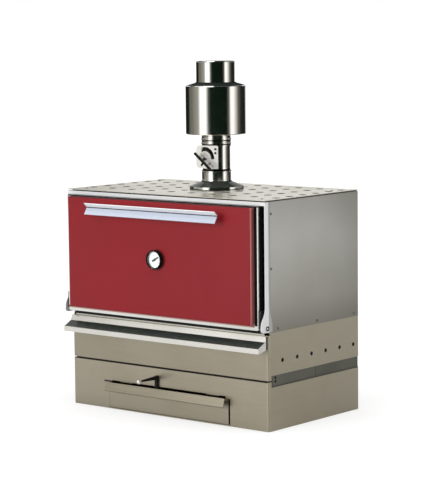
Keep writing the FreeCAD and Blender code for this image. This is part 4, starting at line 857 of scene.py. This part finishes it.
def hexHeads(name, shape):
    angle = roundTurn(hexProfile["around"])[None, :]
    reach = shape["flat"] / np.cos(np.mod(angle, math.pi / 3.0) - math.pi / 6.0)
    radius = np.array(hexProfile["inset"])[:, None] * reach
    level = np.array(hexProfile["level"])[:, None] * shape["height"]
    local = np.stack([radius * np.cos(angle), -level + 0.0 * angle, radius * np.sin(angle)], axis=-1)
    grid = np.array(shape["places"])[:, None, None] * mm + local
    return gridPiece(name, grid, wrapV=True, crease=hexProfile["crease"])


finishPiece(hexHeads("plateBolts", boltShape), materials["blackSteel"], "oven")
finishPiece(hexHeads("leverNut", nutShape), materials["blackSteel"], "damper")
print("pieces made")

# camera fitted to the photograph
cameraSetup = {"place": (4.5568, -5.5200, 1.3833), "yaw": -39.555, "pitch": 6.524, "roll": -0.602,
               "lens": 145.17, "sensor": 36.0, "clipEnd": 200.0}


def addCamera(setup):
    yaw, pitch, roll = (math.radians(setup[key]) for key in ("yaw", "pitch", "roll"))
    ahead = Vector((math.sin(yaw) * math.cos(pitch), math.cos(yaw) * math.cos(pitch), -math.sin(pitch)))
    level = Vector((math.cos(yaw), -math.sin(yaw), 0.0))
    rise = level.cross(ahead)
    right = math.cos(roll) * level + math.sin(roll) * rise
    up = math.cos(roll) * rise - math.sin(roll) * level
    data = bpy.data.cameras.new("photoCamera")
    data.lens = setup["lens"]
    data.sensor_width = setup["sensor"]
    data.clip_end = setup["clipEnd"]
    camera = bpy.data.objects.new("photoCamera", data)
    turn = Matrix((right, up, -ahead)).transposed().to_4x4()
    camera.matrix_world = Matrix.Translation(setup["place"]) @ turn
    scene.collection.objects.link(camera)
    scene.camera = camera


addCamera(cameraSetup)

# studio: pale floor, white surround, two tall softboxes and one overhead; polished metal also sees
# a ring of lamp cards and a grey canopy behind the oven, which nothing else does
white = (1.0, 1.0, 1.0, 1.0)
studio = {"ambient": 0.5, "floorSize": 60.0, "floorSteps": 9, "floorTone": 0.45,
          "floorGlow": (0.8, 5.0, 0.62, 0.93), "frontGlow": (2.3, 3.6, 0.25, 0.9),
          "rearGlow": (3.0, 8.0, 0.08, 0.9), "frontToRear": (-0.4, 0.4, 0.0, 1.0)}
softboxes = [
    {"name": "frontBox", "azimuth": -6.0, "distance": 4.6, "height": 1.5, "size": (1.9, 2.8), "power": 80.0},
    {"name": "rightBox", "azimuth": 111.0, "distance": 4.4, "height": 1.5, "size": (1.9, 2.8), "power": 36.0},
]
softboxAim = (0.0, 0.0, 0.6)
overhead = {"place": (0.0, -0.4, 5.0), "aim": (0.0, 0.0, 0.0), "size": (3.2, 3.2), "power": 125.0}
cardRing = {
    "radius": 3.4, "low": 0.50, "high": 1.6, "dip": (12.0, 88.0, 0.34), "segments": 96,
    "stops": [(-180, (0.012, 0.013, 0.012)), (-170, (0.90, 0.90, 0.88)), (-134, (0.90, 0.90, 0.88)),
              (-124, (0.012, 0.013, 0.012)), (-86, (0.013, 0.014, 0.013)), (-76, (0.17, 0.165, 0.135)),
              (-64, (0.18, 0.17, 0.14)), (-47, (0.29, 0.28, 0.24)), (-31, (0.39, 0.38, 0.34)),
              (-22, (1.30, 1.30, 1.27)), (-2, (1.30, 1.30, 1.27)), (10, (0.10, 0.11, 0.10)),
              (20, (0.005, 0.012, 0.007)), (80, (0.004, 0.009, 0.005)), (90, (0.16, 0.15, 0.14)),
              (97, (1.22, 1.21, 1.18)), (108, (1.22, 1.21, 1.18)), (117, (0.74, 0.71, 0.66)),
              (131, (0.13, 0.12, 0.11)), (149, (0.02, 0.02, 0.02)), (180, (0.012, 0.013, 0.012))],
}
canopy = {"radius": 3.6, "centre": 0.9, "azimuth": (-20.0, 270.0, 49), "rise": (32.0, 90.0, 13),
          "tone": (0.050, 0.062, 0.055)}


def seenFactor(tree):
    path = tree.nodes.new("ShaderNodeLightPath").outputs
    direct = maths(tree, "MAXIMUM", path["Is Camera Ray"], path["Is Glossy Ray"])
    return maths(tree, "MAXIMUM", direct, path["Is Transmission Ray"])


def addWorld():
    world = bpy.data.worlds.new("studioWorld")
    scene.world = world
    world.use_nodes = True
    tree = world.node_tree
    tree.nodes.clear()
    soft = put(tree, "ShaderNodeBackground", {"Color": white, "Strength": studio["ambient"]})
    plain = put(tree, "ShaderNodeBackground", {"Color": white, "Strength": 1.0})
    both = put(tree, "ShaderNodeMixShader", {0: seenFactor(tree), 1: soft.outputs[0], 2: plain.outputs[0]})
    put(tree, "ShaderNodeOutputWorld", {"Surface": both.outputs[0]})


def stageMaterial(name, piece):
    material = bpy.data.materials.new(name)
    material.use_nodes = True
    material.node_tree.nodes.clear()
    piece.data.materials.append(material)
    return material.node_tree


# floor: flat square grid, x and y run over the whole span and z stays 0;
# metal sees it darker close to the oven
def addFloor():
    span = np.linspace(-studio["floorSize"], studio["floorSize"], studio["floorSteps"])
    x, y = np.meshgrid(span, span, indexing="ij")
    floor = gridPiece("floor", np.stack([x, y, np.zeros_like(x)], axis=-1), smooth=False)
    tree = stageMaterial("paleFloor", floor)
    tone = studio["floorTone"]
    matt = put(tree, "ShaderNodeBsdfDiffuse", {"Color": (tone, tone, tone, 1.0)})
    place = tree.nodes.new("ShaderNodeTexCoord").outputs["Object"]
    reach = put(tree, "ShaderNodeVectorMath", {0: place}, operation="LENGTH").outputs["Value"]
    ahead = remap(tree, reach, *studio["frontGlow"])
    behind = remap(tree, reach, *studio["rearGlow"])
    side = remap(tree, axesOf(tree, place)[1], *studio["frontToRear"])
    further = times(tree, side, maths(tree, "SUBTRACT", behind, ahead))
    mirrored = maths(tree, "ADD", ahead, further)
    glossy = tree.nodes.new("ShaderNodeLightPath").outputs["Is Glossy Ray"]
    seen = remap(tree, reach, *studio["floorGlow"])
    change = times(tree, glossy, maths(tree, "SUBTRACT", mirrored, seen))
    level = times(tree, seenFactor(tree), maths(tree, "ADD", seen, change))
    glow = put(tree, "ShaderNodeEmission", {"Color": white, "Strength": level})
    both = put(tree, "ShaderNodeAddShader", {0: matt.outputs[0], 1: glow.outputs[0]})
    put(tree, "ShaderNodeOutputMaterial", {"Surface": both.outputs[0]})


def around(azimuth, distance, height):  # azimuth from the front towards the right
    angle = math.radians(azimuth)
    return distance * math.sin(angle), -distance * math.cos(angle), height


def addBox(name, place, aim, size, power):
    data = bpy.data.lights.new(name, "AREA")
    data.shape = "RECTANGLE"
    data.size, data.size_y = size
    data.energy = power
    lamp = bpy.data.objects.new(name, data)
    turn = (Vector(aim) - Vector(place)).to_track_quat("-Z", "Y").to_matrix().to_4x4()
    lamp.matrix_world = Matrix.Translation(place) @ turn
    scene.collection.objects.link(lamp)


def onlyReflected(piece, tree, colour):
    light = put(tree, "ShaderNodeEmission", {"Color": colour, "Strength": 1.0})
    put(tree, "ShaderNodeOutputMaterial", {"Surface": light.outputs[0]})
    piece.visible_camera = False
    piece.visible_diffuse = False
    piece.visible_shadow = False
    piece.visible_transmission = False


# card ring: upright drum round the oven, angle by height, its tone read from the stops by the angle
# about the axis; its lower edge dips between two angles, where the flue's pipes see it
def addCardRing(ring):
    angle = roundTurn(ring["segments"])[:, None]
    start, end, lowest = ring["dip"]
    dips = (angle > math.radians(start)) & (angle < math.radians(end))
    low = np.where(dips, lowest, ring["low"])
    height = low + (ring["high"] - low) * np.array([[0.0, 1.0]])
    x = ring["radius"] * np.sin(angle) + 0.0 * height
    y = -ring["radius"] * np.cos(angle) + 0.0 * height
    cards = gridPiece("lampCards", np.stack([x, y, height], axis=-1), wrapU=True)
    tree = stageMaterial("lampCards", cards)
    axes = axesOf(tree, tree.nodes.new("ShaderNodeTexCoord").outputs["Object"])
    turn = maths(tree, "ARCTAN2", axes[0], times(tree, axes[1], -1.0))
    ramp = put(tree, "ShaderNodeValToRGB", {0: remap(tree, turn, -math.pi, math.pi, 0.0, 1.0)})
    stops = ramp.color_ramp.elements
    for azimuth, tone in ring["stops"][1:-1]:
        stops.new((azimuth + 180.0) / 360.0).color = (*tone, 1.0)
    stops[0].color = (*ring["stops"][0][1], 1.0)
    stops[len(stops) - 1].color = (*ring["stops"][-1][1], 1.0)
    onlyReflected(cards, tree, ramp.outputs["Color"])


# canopy: part of a sphere behind and above the oven, angle round it by angle of rise
def addCanopy(cover):
    angle = np.radians(np.linspace(*cover["azimuth"]))[:, None]
    rise = np.radians(np.linspace(*cover["rise"]))[None, :]
    x = cover["radius"] * np.sin(angle) * np.cos(rise)
    y = -cover["radius"] * np.cos(angle) * np.cos(rise)
    z = cover["centre"] + cover["radius"] * np.sin(rise) + 0.0 * angle
    cloth = gridPiece("canopy", np.stack([x, y, z], axis=-1))
    onlyReflected(cloth, stageMaterial("canopy", cloth), (*cover["tone"], 1.0))


addWorld()
addFloor()
for box in softboxes:
    place = around(box["azimuth"], box["distance"], box["height"])
    addBox(box["name"], place, softboxAim, box["size"], box["power"])
addBox("overhead", overhead["place"], overhead["aim"], overhead["size"], overhead["power"])
addCardRing(cardRing)
addCanopy(canopy)
print("studio set")
